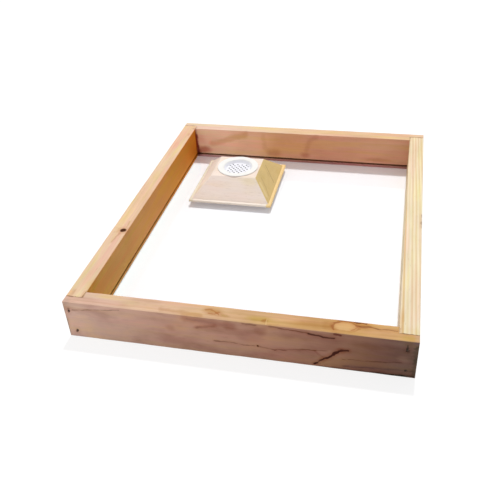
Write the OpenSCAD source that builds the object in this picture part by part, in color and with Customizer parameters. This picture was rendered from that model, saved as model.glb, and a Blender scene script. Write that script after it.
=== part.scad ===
// Hive top feeder: a shallow wooden frame with a clear floor, and a wooden block
// through which the bees climb to a perforated cup.
// Millimetres. The origin is at the middle of the frame's underside, +Z is up and
// +Y points to the back board, next to which the block stands.

/* [Frame] */
// Width of the frame, left to right
frame_w = 413; // [380:1:480]
// Length of the frame, front to back
frame_l = 505; // [460:1:560]
// Height of the boards
frame_h = 54; // [50:1:90]
// Thickness of the boards
board_t = 22; // [19:0.5:28]
// Depth of the corner rabbets, from the inner face of the front and back boards
rabbet_d = 11; // [9.5:0.5:14]

/* [Floor sheet] */
// Thickness of the clear sheet
sheet_t = 3; // [2:0.1:5]
// Height of the lip below the sheet, which is the bees' walking room
lip_h = 4.3; // [4:0.1:9]
// Depth of the groove that holds the sheet
groove_d = 9; // [6:0.5:9.5]
// Room between the edge of the sheet and the end of the groove
edge_gap = 1.5; // [1:0.1:3]
// Room above the sheet in the groove
groove_clear = 0.2; // [0.1:0.05:0.5]

/* [Entry block] */
// Middle of the block from the inner face of the left board
block_from_left = 100.5; // [90:0.5:250]
// Middle of the block from the inner face of the back board
block_from_back = 99; // [90:0.5:300]
// Width of the base plate
plate_w = 133; // [128:1:150]
// Length of the base plate
plate_l = 138; // [133:1:155]
// Thickness of the base plate
plate_t = 3.2; // [2.5:0.1:6]
// Thickness of the sealant bed under the base plate
bed_t = 0.5; // [0.3:0.1:1]
// Distance from the edge of the base plate to the sealant bed
bed_inset = 2; // [1:0.5:6]
// Width of the ledge between the foot of the block and the edge of the plate
ledge_w = 4.6; // [2:0.1:8]
// Height of the block above the base plate
block_h = 27; // [24:0.5:34]
// Width of the block's flat top
top_w = 72; // [68:1:90]
// Length of the block's flat top
top_l = 65; // [62:1:90]
// Diameter of the passage through block, plate and sheet
passage_d = 53; // [48:0.5:56]

/* [Strainer cup] */
// Diameter of the flange
flange_d = 66; // [60:0.5:72]
// Thickness of the flange
flange_t = 1.6; // [1:0.1:3]
// Wall of the skirt and of the floor
cup_wall = 1.6; // [1:0.1:2.2]
// Length of the skirt below the flange
skirt_len = 12; // [9:0.5:18]
// Gap between the skirt and the passage, all round
cup_clear = 0.5; // [0.3:0.05:1]
// Diameter of the bowl's mouth
mouth_d = 47; // [43:0.5:47.5]
// Diameter of the bowl's floor
floor_d = 38.5; // [30:0.5:40]
// Depth of the bowl below the flange's top
bowl_depth = 5; // [4.5:0.1:7]
// Diameter of the strainer holes
strain_d = 2.8; // [1.5:0.1:3.2]
// Distance between holes in a row
strain_step = 7.4; // [5:0.1:9]
// Distance between the rows of holes
strain_row = 4.4; // [3.5:0.1:6]
// Plain rim of the bowl's floor outside the holes
strain_rim = 0.5; // [0.3:0.1:3]

/* [Nails] */
// Length of a nail
nail_len = 45; // [35:1:60]
// Diameter of a nail
nail_d = 1.8; // [1.4:0.1:2.2]
// Diameter of a nail's head
nail_head_d = 3; // [2.6:0.1:4]
// Thickness of a nail's head
nail_head_t = 1.2; // [0.8:0.1:2]
// How deep a nail's head is set below the face of the board
nail_set = 1; // [0.5:0.1:2]
// Distance from the end of the board to the nails
nail_inset = 11; // [9:0.5:12]
// How much nearer to the end the upper front left nail was driven
nail_stray = 5; // [0:0.5:5.5]
// Height of the lower nails above the groove
nail_rise = 2.4; // [1.2:0.1:6]
// Distance from the top of the board down to the upper nails
nail_drop = 14; // [8:0.5:20]

/* [Block screws] */
// Distance between the screws, left to right
screw_span_x = 84; // [76:1:92]
// Distance between the screws, front to back
screw_span_y = 88; // [80:1:94]
// Length of a screw below its head
screw_len = 19; // [15:0.5:20]
// Diameter of a screw's shank
screw_d = 3.5; // [3:0.1:4.2]
// Diameter of a screw's head
screw_head_d = 7; // [6:0.1:8]
// Height of a screw's head
screw_head_h = 2.3; // [1.8:0.1:2.6]
// Straight side of a screw's head, below which it is domed
screw_side_h = 0.7; // [0.3:0.1:1.2]
// Width of the slots of the cross recess
recess_w = 1; // [0.6:0.1:1.4]
// Length of the slots of the cross recess
recess_l = 4; // [3:0.1:5]
// Depth of the cross recess
recess_d = 1.2; // [0.8:0.1:1.5]
// Diameter of a washer
washer_d = 10; // [8.5:0.5:12]
// Thickness of a washer
washer_t = 1; // [0.6:0.1:1.2]
// Gap round a screw in the washer, the sheet and the plate
screw_clear = 0.3; // [0.2:0.05:0.6]

/* [Hidden] */
$fn = 64;

// Overshoot of a cut past the face it opens
cut = 1;
// Room round a nail or a screw's thread in its own hole
drive_gap = 0.05;
// Length of a nail's and a screw's point, in diameters
point_len = 2;
// Corner taken off the flange's edge
flange_edge = 0.5;

// Inner faces of the frame
inner_x = frame_w / 2 - board_t;
inner_y = frame_l / 2 - board_t;
// Side boards reach into the rabbets
side_l = 2 * (inner_y + rabbet_d);
// Groove and sheet
groove_h = sheet_t + groove_clear;
sheet_w = 2 * (inner_x + groove_d - edge_gap);
sheet_l = 2 * (inner_y + groove_d - edge_gap);
sheet_top = lip_h + sheet_t;
// Block, from the sheet up
block_x = block_from_left - inner_x;
block_y = inner_y - block_from_back;
plate_z = sheet_top + bed_t;
block_z = plate_z + plate_t;
seat_z = block_z + block_h;
foot_w = plate_w - 2 * ledge_w;
foot_l = plate_l - 2 * ledge_w;
// Cup
skirt_r = passage_d / 2 - cup_clear;
flange_top = seat_z + flange_t;
bowl_floor_z = flange_top - bowl_depth;
// Fasteners
nail_low = lip_h + groove_h + nail_rise;
nail_high = frame_h - nail_drop;
screw_head_z = lip_h - washer_t;

wood_front = [0.80, 0.62, 0.50];
wood_back = [0.82, 0.62, 0.46];
wood_left = [0.84, 0.60, 0.36];
wood_right = [0.93, 0.80, 0.58];
wood_block = [0.91, 0.82, 0.70];
wood_plate = [0.95, 0.86, 0.68];

// Block with its middle in X and Y on the origin and its underside at z
module slab(w, l, h, z) {
    translate([-w / 2, -l / 2, z])
        cube([w, l, h]);
}

// Puts its children on the axis of the entry block
module at_block() {
    translate([block_x, block_y, 0])
        children();
}

// Upright hole on the current axis, from z up through h
module upright_hole(d, z, h) {
    translate([0, 0, z - cut])
        cylinder(d = d, h = h + 2 * cut);
}

// Puts its children at the four screws, around the current axis
module at_screws() {
    for (sx = [-1, 1])
        for (sy = [-1, 1])
            translate([sx * screw_span_x / 2, sy * screw_span_y / 2, 0])
                children();
}

// Round pointed shank that runs up from z = 0
module shank(d, length) {
    tip = point_len * d;
    cylinder(d = d, h = length - tip);
    translate([0, 0, length - tip])
        cylinder(d1 = d, d2 = 0, h = tip);
}

// Distance of a nail from the frame's middle: side -1 is the front, end -1 is the left
function nail_x(side, end, z) =
    frame_w / 2 - nail_inset + (side < 0 && end < 0 && z == nail_high ? nail_stray : 0);

// Puts its children at the nails of one side, pointing into the frame
module at_nails(side) {
    for (end = [-1, 1])
        for (z = [nail_low, nail_high])
            translate([end * nail_x(side, end, z), side * (frame_l / 2 - nail_set), z])
                rotate([side * 90, 0, 0])
                    children();
}

module nails(side) {
    at_nails(side) {
        cylinder(d = nail_head_d, h = nail_head_t);
        shank(nail_d, nail_len);
    }
}

module nail_holes(side) {
    at_nails(side) {
        translate([0, 0, -nail_set - cut])
            cylinder(d = nail_head_d + 2 * drive_gap, h = nail_set + cut + nail_head_t + drive_gap);
        cylinder(d = nail_d + 2 * drive_gap, h = nail_len + drive_gap);
    }
}

// Groove for the floor sheet, as the space that it takes out of all four boards
module groove_space() {
    slab(2 * (inner_x + groove_d), 2 * (inner_y + groove_d), groove_h, lip_h);
}

// Board across the front (side -1) or the back (side 1), with a rabbet at each end
module end_board(side) {
    difference() {
        translate([-frame_w / 2, side * (inner_y + board_t / 2) - board_t / 2, 0])
            cube([frame_w, board_t, frame_h]);
        for (end = [-1, 1])
            translate([end * (frame_w / 2 + cut), 0, frame_h / 2])
                cube([2 * (board_t + cut), side_l, frame_h + 2 * cut], center = true);
        groove_space();
        nail_holes(side);
    }
}

// Board along the left (side -1) or the right (side 1)
module side_board(side) {
    difference() {
        translate([side * (inner_x + board_t / 2), 0, 0])
            slab(board_t, side_l, frame_h, 0);
        translate([0, 0, lip_h])
            slab(2 * (inner_x + groove_d), side_l + 2 * cut, groove_h, 0);
        for (y_side = [-1, 1])
            nail_holes(y_side);
    }
}

module front_board() {
    color(wood_front)
        end_board(-1);
}

module back_board() {
    color(wood_back)
        end_board(1);
}

module left_board() {
    color(wood_left)
        side_board(-1);
}

module right_board() {
    color(wood_right)
        side_board(1);
}

// Clear sheet in the groove, with the passage and the screw holes
module floor_sheet() {
    color([0.86, 0.93, 0.95, 0.35])
        difference() {
            slab(sheet_w, sheet_l, sheet_t, lip_h);
            at_block() {
                upright_hole(passage_d, lip_h, sheet_t);
                at_screws()
                    upright_hole(screw_d + 2 * screw_clear, lip_h, sheet_t);
            }
        }
}

// Bead between the edge of the sheet and the end of the groove
module groove_sealant() {
    color([0.90, 0.91, 0.90, 0.6])
        difference() {
            groove_space();
            slab(sheet_w, sheet_l, groove_h + 2 * cut, lip_h - cut);
        }
}

// Bed of sealant between the sheet and the base plate
module plate_sealant() {
    color([0.88, 0.89, 0.88, 0.7])
        at_block()
            difference() {
                slab(plate_w - 2 * bed_inset, plate_l - 2 * bed_inset, bed_t, sheet_top);
                upright_hole(passage_d, sheet_top, bed_t);
                at_screws()
                    upright_hole(screw_d + 2 * screw_clear, sheet_top, bed_t);
            }
}

// Thin plate under the block
module base_plate() {
    color(wood_plate)
        at_block()
            difference() {
                slab(plate_w, plate_l, plate_t, plate_z);
                upright_hole(passage_d, plate_z, plate_t);
                at_screws()
                    upright_hole(screw_d + 2 * screw_clear, plate_z, plate_t);
            }
}

// Prism along Y whose outline in X and Z narrows from foot to top
module ridge(foot, top, h, length) {
    rotate([90, 0, 0])
        linear_extrude(length, center = true)
            polygon([[-foot / 2, 0], [foot / 2, 0], [top / 2, h], [-top / 2, h]]);
}

// Block with four sloping faces: two ridges that cross, with the passage and the pilot holes
module entry_block() {
    color(wood_block)
        at_block()
            difference() {
                translate([0, 0, block_z])
                    intersection() {
                        ridge(foot_w, top_w, block_h, foot_l);
                        rotate([0, 0, 90])
                            ridge(foot_l, top_l, block_h, foot_w);
                    }
                upright_hole(passage_d, block_z, block_h);
                at_screws()
                    translate([0, 0, screw_head_z])
                        cylinder(d = screw_d + 2 * drive_gap, h = screw_len + drive_gap);
            }
}

// Half outline of the cup: perforated floor, sloping bowl, flange and skirt
module cup_outline() {
    skirt_in = skirt_r - cup_wall;
    floor_r = floor_d / 2;
    flange_r = flange_d / 2;
    polygon([
        [0, bowl_floor_z - cup_wall],
        [floor_r + cup_wall / 2, bowl_floor_z - cup_wall],
        [skirt_in, seat_z - cup_wall / 2],
        [skirt_in, seat_z - skirt_len],
        [skirt_r, seat_z - skirt_len],
        [skirt_r, seat_z],
        [flange_r, seat_z],
        [flange_r, flange_top - flange_edge],
        [flange_r - flange_edge, flange_top],
        [mouth_d / 2, flange_top],
        [floor_r, bowl_floor_z],
        [0, bowl_floor_z]
    ]);
}

// Strainer holes in staggered rows, as far as the bowl's floor reaches
module strainer_holes() {
    reach = floor_d / 2 - strain_rim - strain_d / 2;
    rows = floor(reach / strain_row);
    for (j = [-rows:rows]) {
        half_row = sqrt(reach * reach - pow(j * strain_row, 2));
        shift = abs(j) % 2 == 0 ? 0 : strain_step / 2;
        first = ceil((-half_row - shift) / strain_step);
        last = floor((half_row - shift) / strain_step);
        for (i = [first:1:last])
            translate([i * strain_step + shift, j * strain_row, 0])
                upright_hole(strain_d, bowl_floor_z - cup_wall, cup_wall);
    }
}

module strainer_cup() {
    color([0.96, 0.96, 0.97])
        at_block()
            difference() {
                rotate_extrude()
                    cup_outline();
                strainer_holes();
            }
}

module front_nails() {
    color([0.30, 0.31, 0.30])
        nails(-1);
}

module back_nails() {
    color([0.30, 0.31, 0.30])
        nails(1);
}

// Round-headed screws with a cross recess, from below
module block_screws() {
    color([0.72, 0.73, 0.74])
        at_block()
            at_screws()
                translate([0, 0, screw_head_z])
                    difference() {
                        union() {
                            translate([0, 0, -screw_head_h])
                                screw_head();
                            shank(screw_d, screw_len);
                        }
                        for (turn = [0, 90])
                            rotate([0, 0, turn])
                                slab(recess_w, recess_l, recess_d + cut, -screw_head_h - cut);
                    }
}

// Head with its dome down: a cylinder rounded by the ball through the dome's edge and its crown
module screw_head() {
    dome_h = screw_head_h - screw_side_h;
    ball_r = (pow(screw_head_d / 2, 2) + pow(dome_h, 2)) / (2 * dome_h);
    intersection() {
        cylinder(d = screw_head_d, h = screw_head_h);
        translate([0, 0, ball_r])
            sphere(r = ball_r);
    }
}

module screw_washers() {
    color([0.80, 0.81, 0.82])
        at_block()
            at_screws()
                difference() {
                    translate([0, 0, screw_head_z])
                        cylinder(d = washer_d, h = washer_t);
                    upright_hole(screw_d + 2 * screw_clear, screw_head_z, washer_t);
                }
}

front_board();
back_board();
left_board();
right_board();
floor_sheet();
groove_sealant();
plate_sealant();
base_plate();
entry_block();
strainer_cup();
front_nails();
back_nails();
block_screws();
screw_washers();
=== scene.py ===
"""Looks of a hive top feeder: a shallow pine tray with a clear floor, an entry block and a strainer cup.

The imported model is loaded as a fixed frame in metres. The boards, the base plate, the entry block and the
cup are worked out again here with eased edges and fine forms, each where its CAD node is. The sheet, the
sealant, the nails, the screws and the washers keep their CAD shape and get a finish.
"""

import math
from dataclasses import dataclass

import bmesh
import bpy
import numpy as np
from bpy.props import FloatProperty, FloatVectorProperty, PointerProperty
from mathutils import Matrix, Vector
from mathutils.geometry import delaunay_2d_cdt


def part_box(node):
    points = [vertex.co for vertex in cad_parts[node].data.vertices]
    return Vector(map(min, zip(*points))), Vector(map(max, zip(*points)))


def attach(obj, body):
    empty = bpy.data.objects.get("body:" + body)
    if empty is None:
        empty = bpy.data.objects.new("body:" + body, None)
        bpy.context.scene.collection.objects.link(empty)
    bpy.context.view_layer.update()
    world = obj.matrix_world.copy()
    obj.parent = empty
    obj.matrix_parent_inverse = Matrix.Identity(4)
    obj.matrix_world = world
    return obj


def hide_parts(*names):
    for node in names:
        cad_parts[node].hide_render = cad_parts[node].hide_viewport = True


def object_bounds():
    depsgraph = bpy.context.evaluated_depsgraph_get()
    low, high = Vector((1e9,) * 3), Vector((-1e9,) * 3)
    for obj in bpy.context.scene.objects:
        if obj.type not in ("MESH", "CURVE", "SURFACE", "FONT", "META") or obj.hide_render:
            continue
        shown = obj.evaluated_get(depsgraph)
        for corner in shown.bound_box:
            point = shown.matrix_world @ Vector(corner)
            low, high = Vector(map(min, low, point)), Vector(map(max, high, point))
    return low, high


bl_info = {
    "name": "Hive Top Feeder",
    "version": (1, 0, 0),
    "blender": (4, 5, 0),
    "location": "View3D > Sidebar > Feeder",
    "description": "Dresses the packed hive top feeder with wood, plastic and steel finishes",
    "category": "Object",
}

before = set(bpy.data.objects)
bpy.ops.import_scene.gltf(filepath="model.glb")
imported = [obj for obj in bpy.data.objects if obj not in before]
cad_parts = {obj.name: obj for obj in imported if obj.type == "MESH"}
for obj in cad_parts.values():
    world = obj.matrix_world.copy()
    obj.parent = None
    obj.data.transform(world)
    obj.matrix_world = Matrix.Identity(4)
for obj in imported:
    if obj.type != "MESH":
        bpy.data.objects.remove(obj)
CAD_BOX = [list(corner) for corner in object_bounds()]

MM = 0.001
# Points whose heights or depths differ by less than this lie in one plane
LEVEL = 0.01 * MM


def node_box(node):
    """Lowest and highest corner of a CAD node, as arrays."""
    low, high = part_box(node)
    return np.array(low), np.array(high)


def node_points(node):
    """Places of a CAD node's vertices, as one array."""
    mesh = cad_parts[node].data
    points = np.empty(len(mesh.vertices) * 3)
    mesh.vertices.foreach_get("co", points)
    return points.reshape(-1, 3)


def nail_places(node):
    """Middle of each of the four nail heads: the mean of the head's points in each quarter of the board."""
    points = node_points(node)
    outer = np.abs(points[:, 1]).max()
    heads = points[np.abs(points[:, 1]) > outer - LEVEL]
    middle = 0.5 * (heads[:, 2].min() + heads[:, 2].max())
    places = []
    for side in (-1, 1):
        for level in (-1, 1):
            chosen = heads[(heads[:, 0] * side > 0) & ((heads[:, 2] - middle) * level > 0)]
            places.append((chosen[:, 0].mean(), chosen[:, 2].mean()))
    return places


def metres(numbers):
    """Millimetres as metres."""
    return tuple(number * MM for number in numbers)


HALF_WIDTH, HALF_LENGTH, BOARD_HEIGHT = CAD_BOX[1]
FRONT_LOW, FRONT_HIGH = node_box("front_board")
BOARD_DEPTH = FRONT_HIGH[1] - FRONT_LOW[1]
SIDE_HALF = node_box("right_board")[1][1]
TONGUE_DEPTH = HALF_LENGTH - SIDE_HALF
SHOULDER = HALF_WIDTH - BOARD_DEPTH
BEAD_LOW, BEAD_HIGH = node_box("groove_sealant")
GROOVE_LOW = BEAD_LOW[2]
GROOVE_HIGH = BEAD_HIGH[2]
GROOVE_DEPTH = BEAD_HIGH[0] - SHOULDER
PLATE_LOW, PLATE_HIGH = node_box("base_plate")
PLATE_HALF = 0.5 * (PLATE_HIGH - PLATE_LOW)[:2]
CUP_LOW, CUP_HIGH = node_box("strainer_cup")
AXIS = 0.5 * (CUP_LOW + CUP_HIGH)[:2]
FLANGE_RADIUS = np.hypot(*(node_points("strainer_cup")[:, :2] - AXIS).T).max()
BLOCK_LOW, BLOCK_HIGH = node_box("entry_block")
BLOCK_POINTS = node_points("entry_block")
BLOCK_TOP = BLOCK_POINTS[BLOCK_POINTS[:, 2] > BLOCK_HIGH[2] - LEVEL]
TOP_HALF = np.abs(BLOCK_TOP[:, :2] - AXIS).max(axis=0)
FOOT_HALF = 0.5 * (BLOCK_HIGH - BLOCK_LOW)[:2]
PASSAGE_RADIUS = np.hypot(*(BLOCK_POINTS[:, :2] - AXIS).T).min()


class FeederShape(bpy.types.PropertyGroup):
    """Sizes of the fine forms that the looks add."""

    edge_radius: FloatProperty(name="Edge radius", description="Easing of the boards' long edges",
                               default=0.8 * MM, unit="LENGTH", precision=5)
    end_radius: FloatProperty(name="End radius", description="Easing of the boards' ends",
                              default=0.6 * MM, unit="LENGTH", precision=5)
    seam_gap: FloatProperty(name="Seam gap", description="Gap left at each end of a side board",
                            default=0.3 * MM, unit="LENGTH", precision=5)
    well_radius: FloatProperty(name="Nail well radius", description="Radius of the dent round a nail head",
                               default=1.6 * MM, unit="LENGTH", precision=5)
    well_depth: FloatProperty(name="Nail well depth", description="Depth of the dent round a nail head",
                              default=1.15 * MM, unit="LENGTH", precision=5)
    block_edge: FloatProperty(name="Block edge", description="Easing of the edges round the block's top",
                              default=1.0 * MM, unit="LENGTH", precision=5)
    plate_edge: FloatProperty(name="Plate edge", description="Easing of the base plate's upper edges",
                              default=2.3 * MM, unit="LENGTH", precision=5)


class FeederColours(bpy.types.PropertyGroup):
    """Colours of the finishes, in linear light."""

    front_early: FloatVectorProperty(name="Front wood", description="Pale wood of the front board",
                                     default=(0.86, 0.60, 0.40), size=3, subtype="COLOR")
    front_late: FloatVectorProperty(name="Front rings", description="Dark rings of the front board",
                                    default=(0.70, 0.42, 0.24), size=3, subtype="COLOR")
    back_early: FloatVectorProperty(name="Back wood", description="Pale wood of the back board",
                                    default=(0.87, 0.61, 0.42), size=3, subtype="COLOR")
    back_late: FloatVectorProperty(name="Back rings", description="Dark rings of the back board",
                                   default=(0.72, 0.42, 0.26), size=3, subtype="COLOR")
    left_early: FloatVectorProperty(name="Left wood", description="Pale wood of the left board",
                                    default=(0.85, 0.57, 0.34), size=3, subtype="COLOR")
    left_late: FloatVectorProperty(name="Left rings", description="Dark rings of the left board",
                                   default=(0.74, 0.44, 0.24), size=3, subtype="COLOR")
    right_early: FloatVectorProperty(name="Right wood", description="Pale wood of the right board",
                                     default=(0.93, 0.76, 0.49), size=3, subtype="COLOR")
    right_late: FloatVectorProperty(name="Right rings", description="Dark rings of the right board",
                                    default=(0.74, 0.46, 0.18), size=3, subtype="COLOR")
    block_wood: FloatVectorProperty(name="Block wood", description="Pale wood of the entry block",
                                    default=(0.985, 0.85, 0.77), size=3, subtype="COLOR")
    # Colour of the block's right slope: darker end grain, and partly painted shade, as the left slope stays
    # pale
    block_end_and_shade: FloatVectorProperty(name="Block end grain", description="End grain of the entry block",
                                   default=(0.72, 0.535, 0.235), size=3, subtype="COLOR")
    plate_wood: FloatVectorProperty(name="Plate wood", description="Wood of the base plate",
                                    default=(0.95, 0.85, 0.76), size=3, subtype="COLOR")
    plastic: FloatVectorProperty(name="Plastic", description="Moulded plastic of the strainer cup",
                                 default=(0.91, 0.895, 0.86), size=3, subtype="COLOR")
    nail_steel: FloatVectorProperty(name="Nail steel", description="Dulled steel of the nails",
                                    default=(0.035, 0.035, 0.03), size=3, subtype="COLOR")
    screw_steel: FloatVectorProperty(name="Screw steel", description="Stainless steel of screws and washers",
                                     default=(0.62, 0.63, 0.64), size=3, subtype="COLOR")
    sealant: FloatVectorProperty(name="Sealant", description="Clear silicone of the beads",
                                 default=(0.80, 0.80, 0.78), size=3, subtype="COLOR")


class FeederStage(bpy.types.PropertyGroup):
    """Light and camera."""

    sun_height: FloatProperty(name="Sun height", description="Height of the sun above the horizon",
                              default=math.radians(64), subtype="ANGLE")
    sun_spread: FloatProperty(name="Sun spread", description="Width of the sun's disc, which softens shadows",
                              default=math.radians(4), subtype="ANGLE")
    sun_strength: FloatProperty(name="Sun strength", description="Power of the sun",
                                default=2.05, subtype="UNSIGNED")
    sky_strength: FloatProperty(name="Sky strength", description="Brightness of the even light all round",
                                default=0.45, subtype="UNSIGNED")
    fill_power: FloatProperty(name="Fill power", description="Power of the soft lamp at the front left",
                              default=2.8, unit="POWER")
    camera_place: FloatVectorProperty(name="Camera place", description="Where the camera stands",
                                      default=(0.16298, -0.77914, 0.54044), size=3, subtype="TRANSLATION")
    camera_pan: FloatProperty(name="Pan", description="Turn of the camera about the vertical",
                              default=math.radians(14.46), subtype="ANGLE")
    camera_tilt: FloatProperty(name="Tilt", description="Tilt of the camera from straight down",
                               default=math.radians(54.65), subtype="ANGLE")
    camera_roll: FloatProperty(name="Roll", description="Roll of the camera about its view line",
                               default=math.radians(-3.254), subtype="ANGLE")
    lens: FloatProperty(name="Lens", description="Focal length on a 36 mm wide sensor",
                        default=46.96, unit="CAMERA")


# Points nearer to each other than this are merged, and edges sharper than the angle are kept
MERGE = 0.002 * MM
SHARP = math.radians(35.0)


def smooth(low, high, values):
    """Soft step from 0 at low to 1 at high: t squared times (3 minus 2 t) of the clamped share t."""
    share = np.clip((values - low) / (high - low), 0.0, 1.0)
    return share * share * (3.0 - 2.0 * share)


def grid_faces(rows, columns, wrap_rows):
    """Quads of a grid of points whose columns close into a ring, and whose rows do so where asked."""
    row = np.arange(rows if wrap_rows else rows - 1)[:, None]
    column = np.arange(columns)[None, :]
    beside = (column + 1) % columns
    here = row * columns
    below = (row + 1) % rows * columns
    corners = (here + column, here + beside, below + beside, below + column)
    return np.stack(corners, axis=-1).reshape(-1, 4)


def add_object(name, data):
    """Puts a mesh, a lamp or a camera into the scene."""
    item = bpy.data.objects.new(name, data)
    bpy.context.scene.collection.objects.link(item)
    return item


def make_piece(name, points, faces, material, values=None):
    """Mesh object at the origin: doubles merged, faces turned outwards, sharp edges kept."""
    mesh = bpy.data.meshes.new(name)
    mesh.from_pydata(points.tolist(), [], faces)
    for key, numbers in (values or {}).items():
        layer = mesh.attributes.new(key, "FLOAT", "POINT")
        layer.data.foreach_set("value", np.ascontiguousarray(numbers, dtype=np.float32).ravel())
    shell = bmesh.new()
    shell.from_mesh(mesh)
    bmesh.ops.remove_doubles(shell, verts=shell.verts, dist=MERGE)
    bmesh.ops.recalc_face_normals(shell, faces=shell.faces)
    shell.to_mesh(mesh)
    shell.free()
    mesh.shade_smooth()
    mesh.set_sharp_from_angle(angle=SHARP)
    mesh.materials.append(material)
    return add_object(name, mesh)


def give_finish(material, *nodes):
    """Puts a material on CAD nodes."""
    for node in nodes:
        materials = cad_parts[node].data.materials
        materials.clear()
        materials.append(material)


def product(first, second):
    """Two colours multiplied level by level."""
    return tuple(one * two for one, two in zip(first, second))


# Noise of the finishes: clouds to the metre along each axis (for wood, along the grain and across it), detail
# and roughness
NOISE = {
    "rings": ((2.6, 14.0, 14.0), 2.0, 0.5),
    "streaks": ((9.0, 330.0, 330.0), 2.0, 0.55),
    "fibres": ((45.0, 2100.0, 2100.0), 2.0, 0.6),
    "patches": ((7.0, 26.0, 26.0), 2.0, 0.5),
    "pores": ((90.0, 1500.0, 1500.0), 1.0, 0.5),
    "rough": ((90.0, 90.0, 90.0), 2.0, 0.6),
    "loose": ((45.0, 70.0, 60.0), 2.0, 0.6),
    "tinge": ((11.0, 120.0, 120.0), 2.0, 0.55),
    "tint": ((14.0, 40.0, 38.0), 3.0, 0.55),
    "ragged": ((70.0, 220.0, 220.0), 3.0, 0.6),
    "faded": ((38.0, 60.0, 60.0), 1.0, 0.5),
    "island": ((60.0, 90.0, 60.0), 1.0, 0.5),
    "edge": ((60.0, 300.0, 300.0), 2.0, 0.5),
    "block": ((16.0, 60.0, 60.0), 2.0, 0.5),
    "block_rough": ((140.0, 140.0, 140.0), 2.0, 0.6),
    "saw": ((500.0, 1.0, 1.0), 2.0, 0.6),
    "scuffs": ((40.0, 55.0, 40.0), 4.0, 0.6),
    "lumps": ((160.0, 160.0, 160.0), 3.0, 0.5),
    "dust": ((90.0, 90.0, 90.0), 3.0, 0.6),
    "skin": ((2600.0, 2600.0, 2600.0), 1.0, 0.5),
    "rust": ((900.0, 900.0, 900.0), 3.0, 0.6),
    "stain": ((350.0, 350.0, 350.0), 3.0, 0.6),
    "scratches": ((4000.0, 900.0, 2000.0), 2.0, 0.5),
}


class Nodes:
    """A tree of shader nodes. Each method adds nodes and gives back an output socket."""

    def __init__(self, tree):
        self.tree = tree

    def feed(self, socket, value):
        """Links a socket to another, or sets its number, vector or colour."""
        if isinstance(value, bpy.types.NodeSocket):
            self.tree.links.new(value, socket)
        elif value is not None:
            socket.default_value = (*value, 1.0) if socket.type == "RGBA" else value

    def add(self, kind, *values, give=0, inputs=None, **settings):
        """Adds a node, sets its options, feeds its inputs in order or by name, and gives one output."""
        node = self.tree.nodes.new(kind)
        for key, setting in settings.items():
            setattr(node, key, setting)
        for socket, value in zip(node.inputs, values):
            self.feed(socket, value)
        for key, value in (inputs or {}).items():
            self.feed(node.inputs[key], value)
        return node.outputs[give]

    def calc(self, operation, *values):
        """One step of arithmetic."""
        return self.add("ShaderNodeMath", *values, operation=operation)

    def times(self, first, second):
        """Product of two numbers."""
        return self.calc("MULTIPLY", first, second)

    def scaled(self, value, factor, plus):
        """A number times a factor, plus another."""
        return self.calc("MULTIPLY_ADD", value, factor, plus)

    def span(self, value, low, high, to_low=0.0, to_high=1.0):
        """Soft step that takes low to to_low and high to to_high."""
        ends = (low, high, to_low, to_high)
        return self.add("ShaderNodeMapRange", value, *ends, interpolation_type="SMOOTHSTEP")

    def seen(self):
        """1 for what the camera sees, straight or by way of gloss or glass, and 0 for other light."""
        rays = self.tree.nodes.new("ShaderNodeLightPath").outputs
        seen = self.calc("MAXIMUM", rays["Is Camera Ray"], rays["Is Glossy Ray"])
        return self.calc("MAXIMUM", seen, rays["Is Transmission Ray"])


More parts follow.
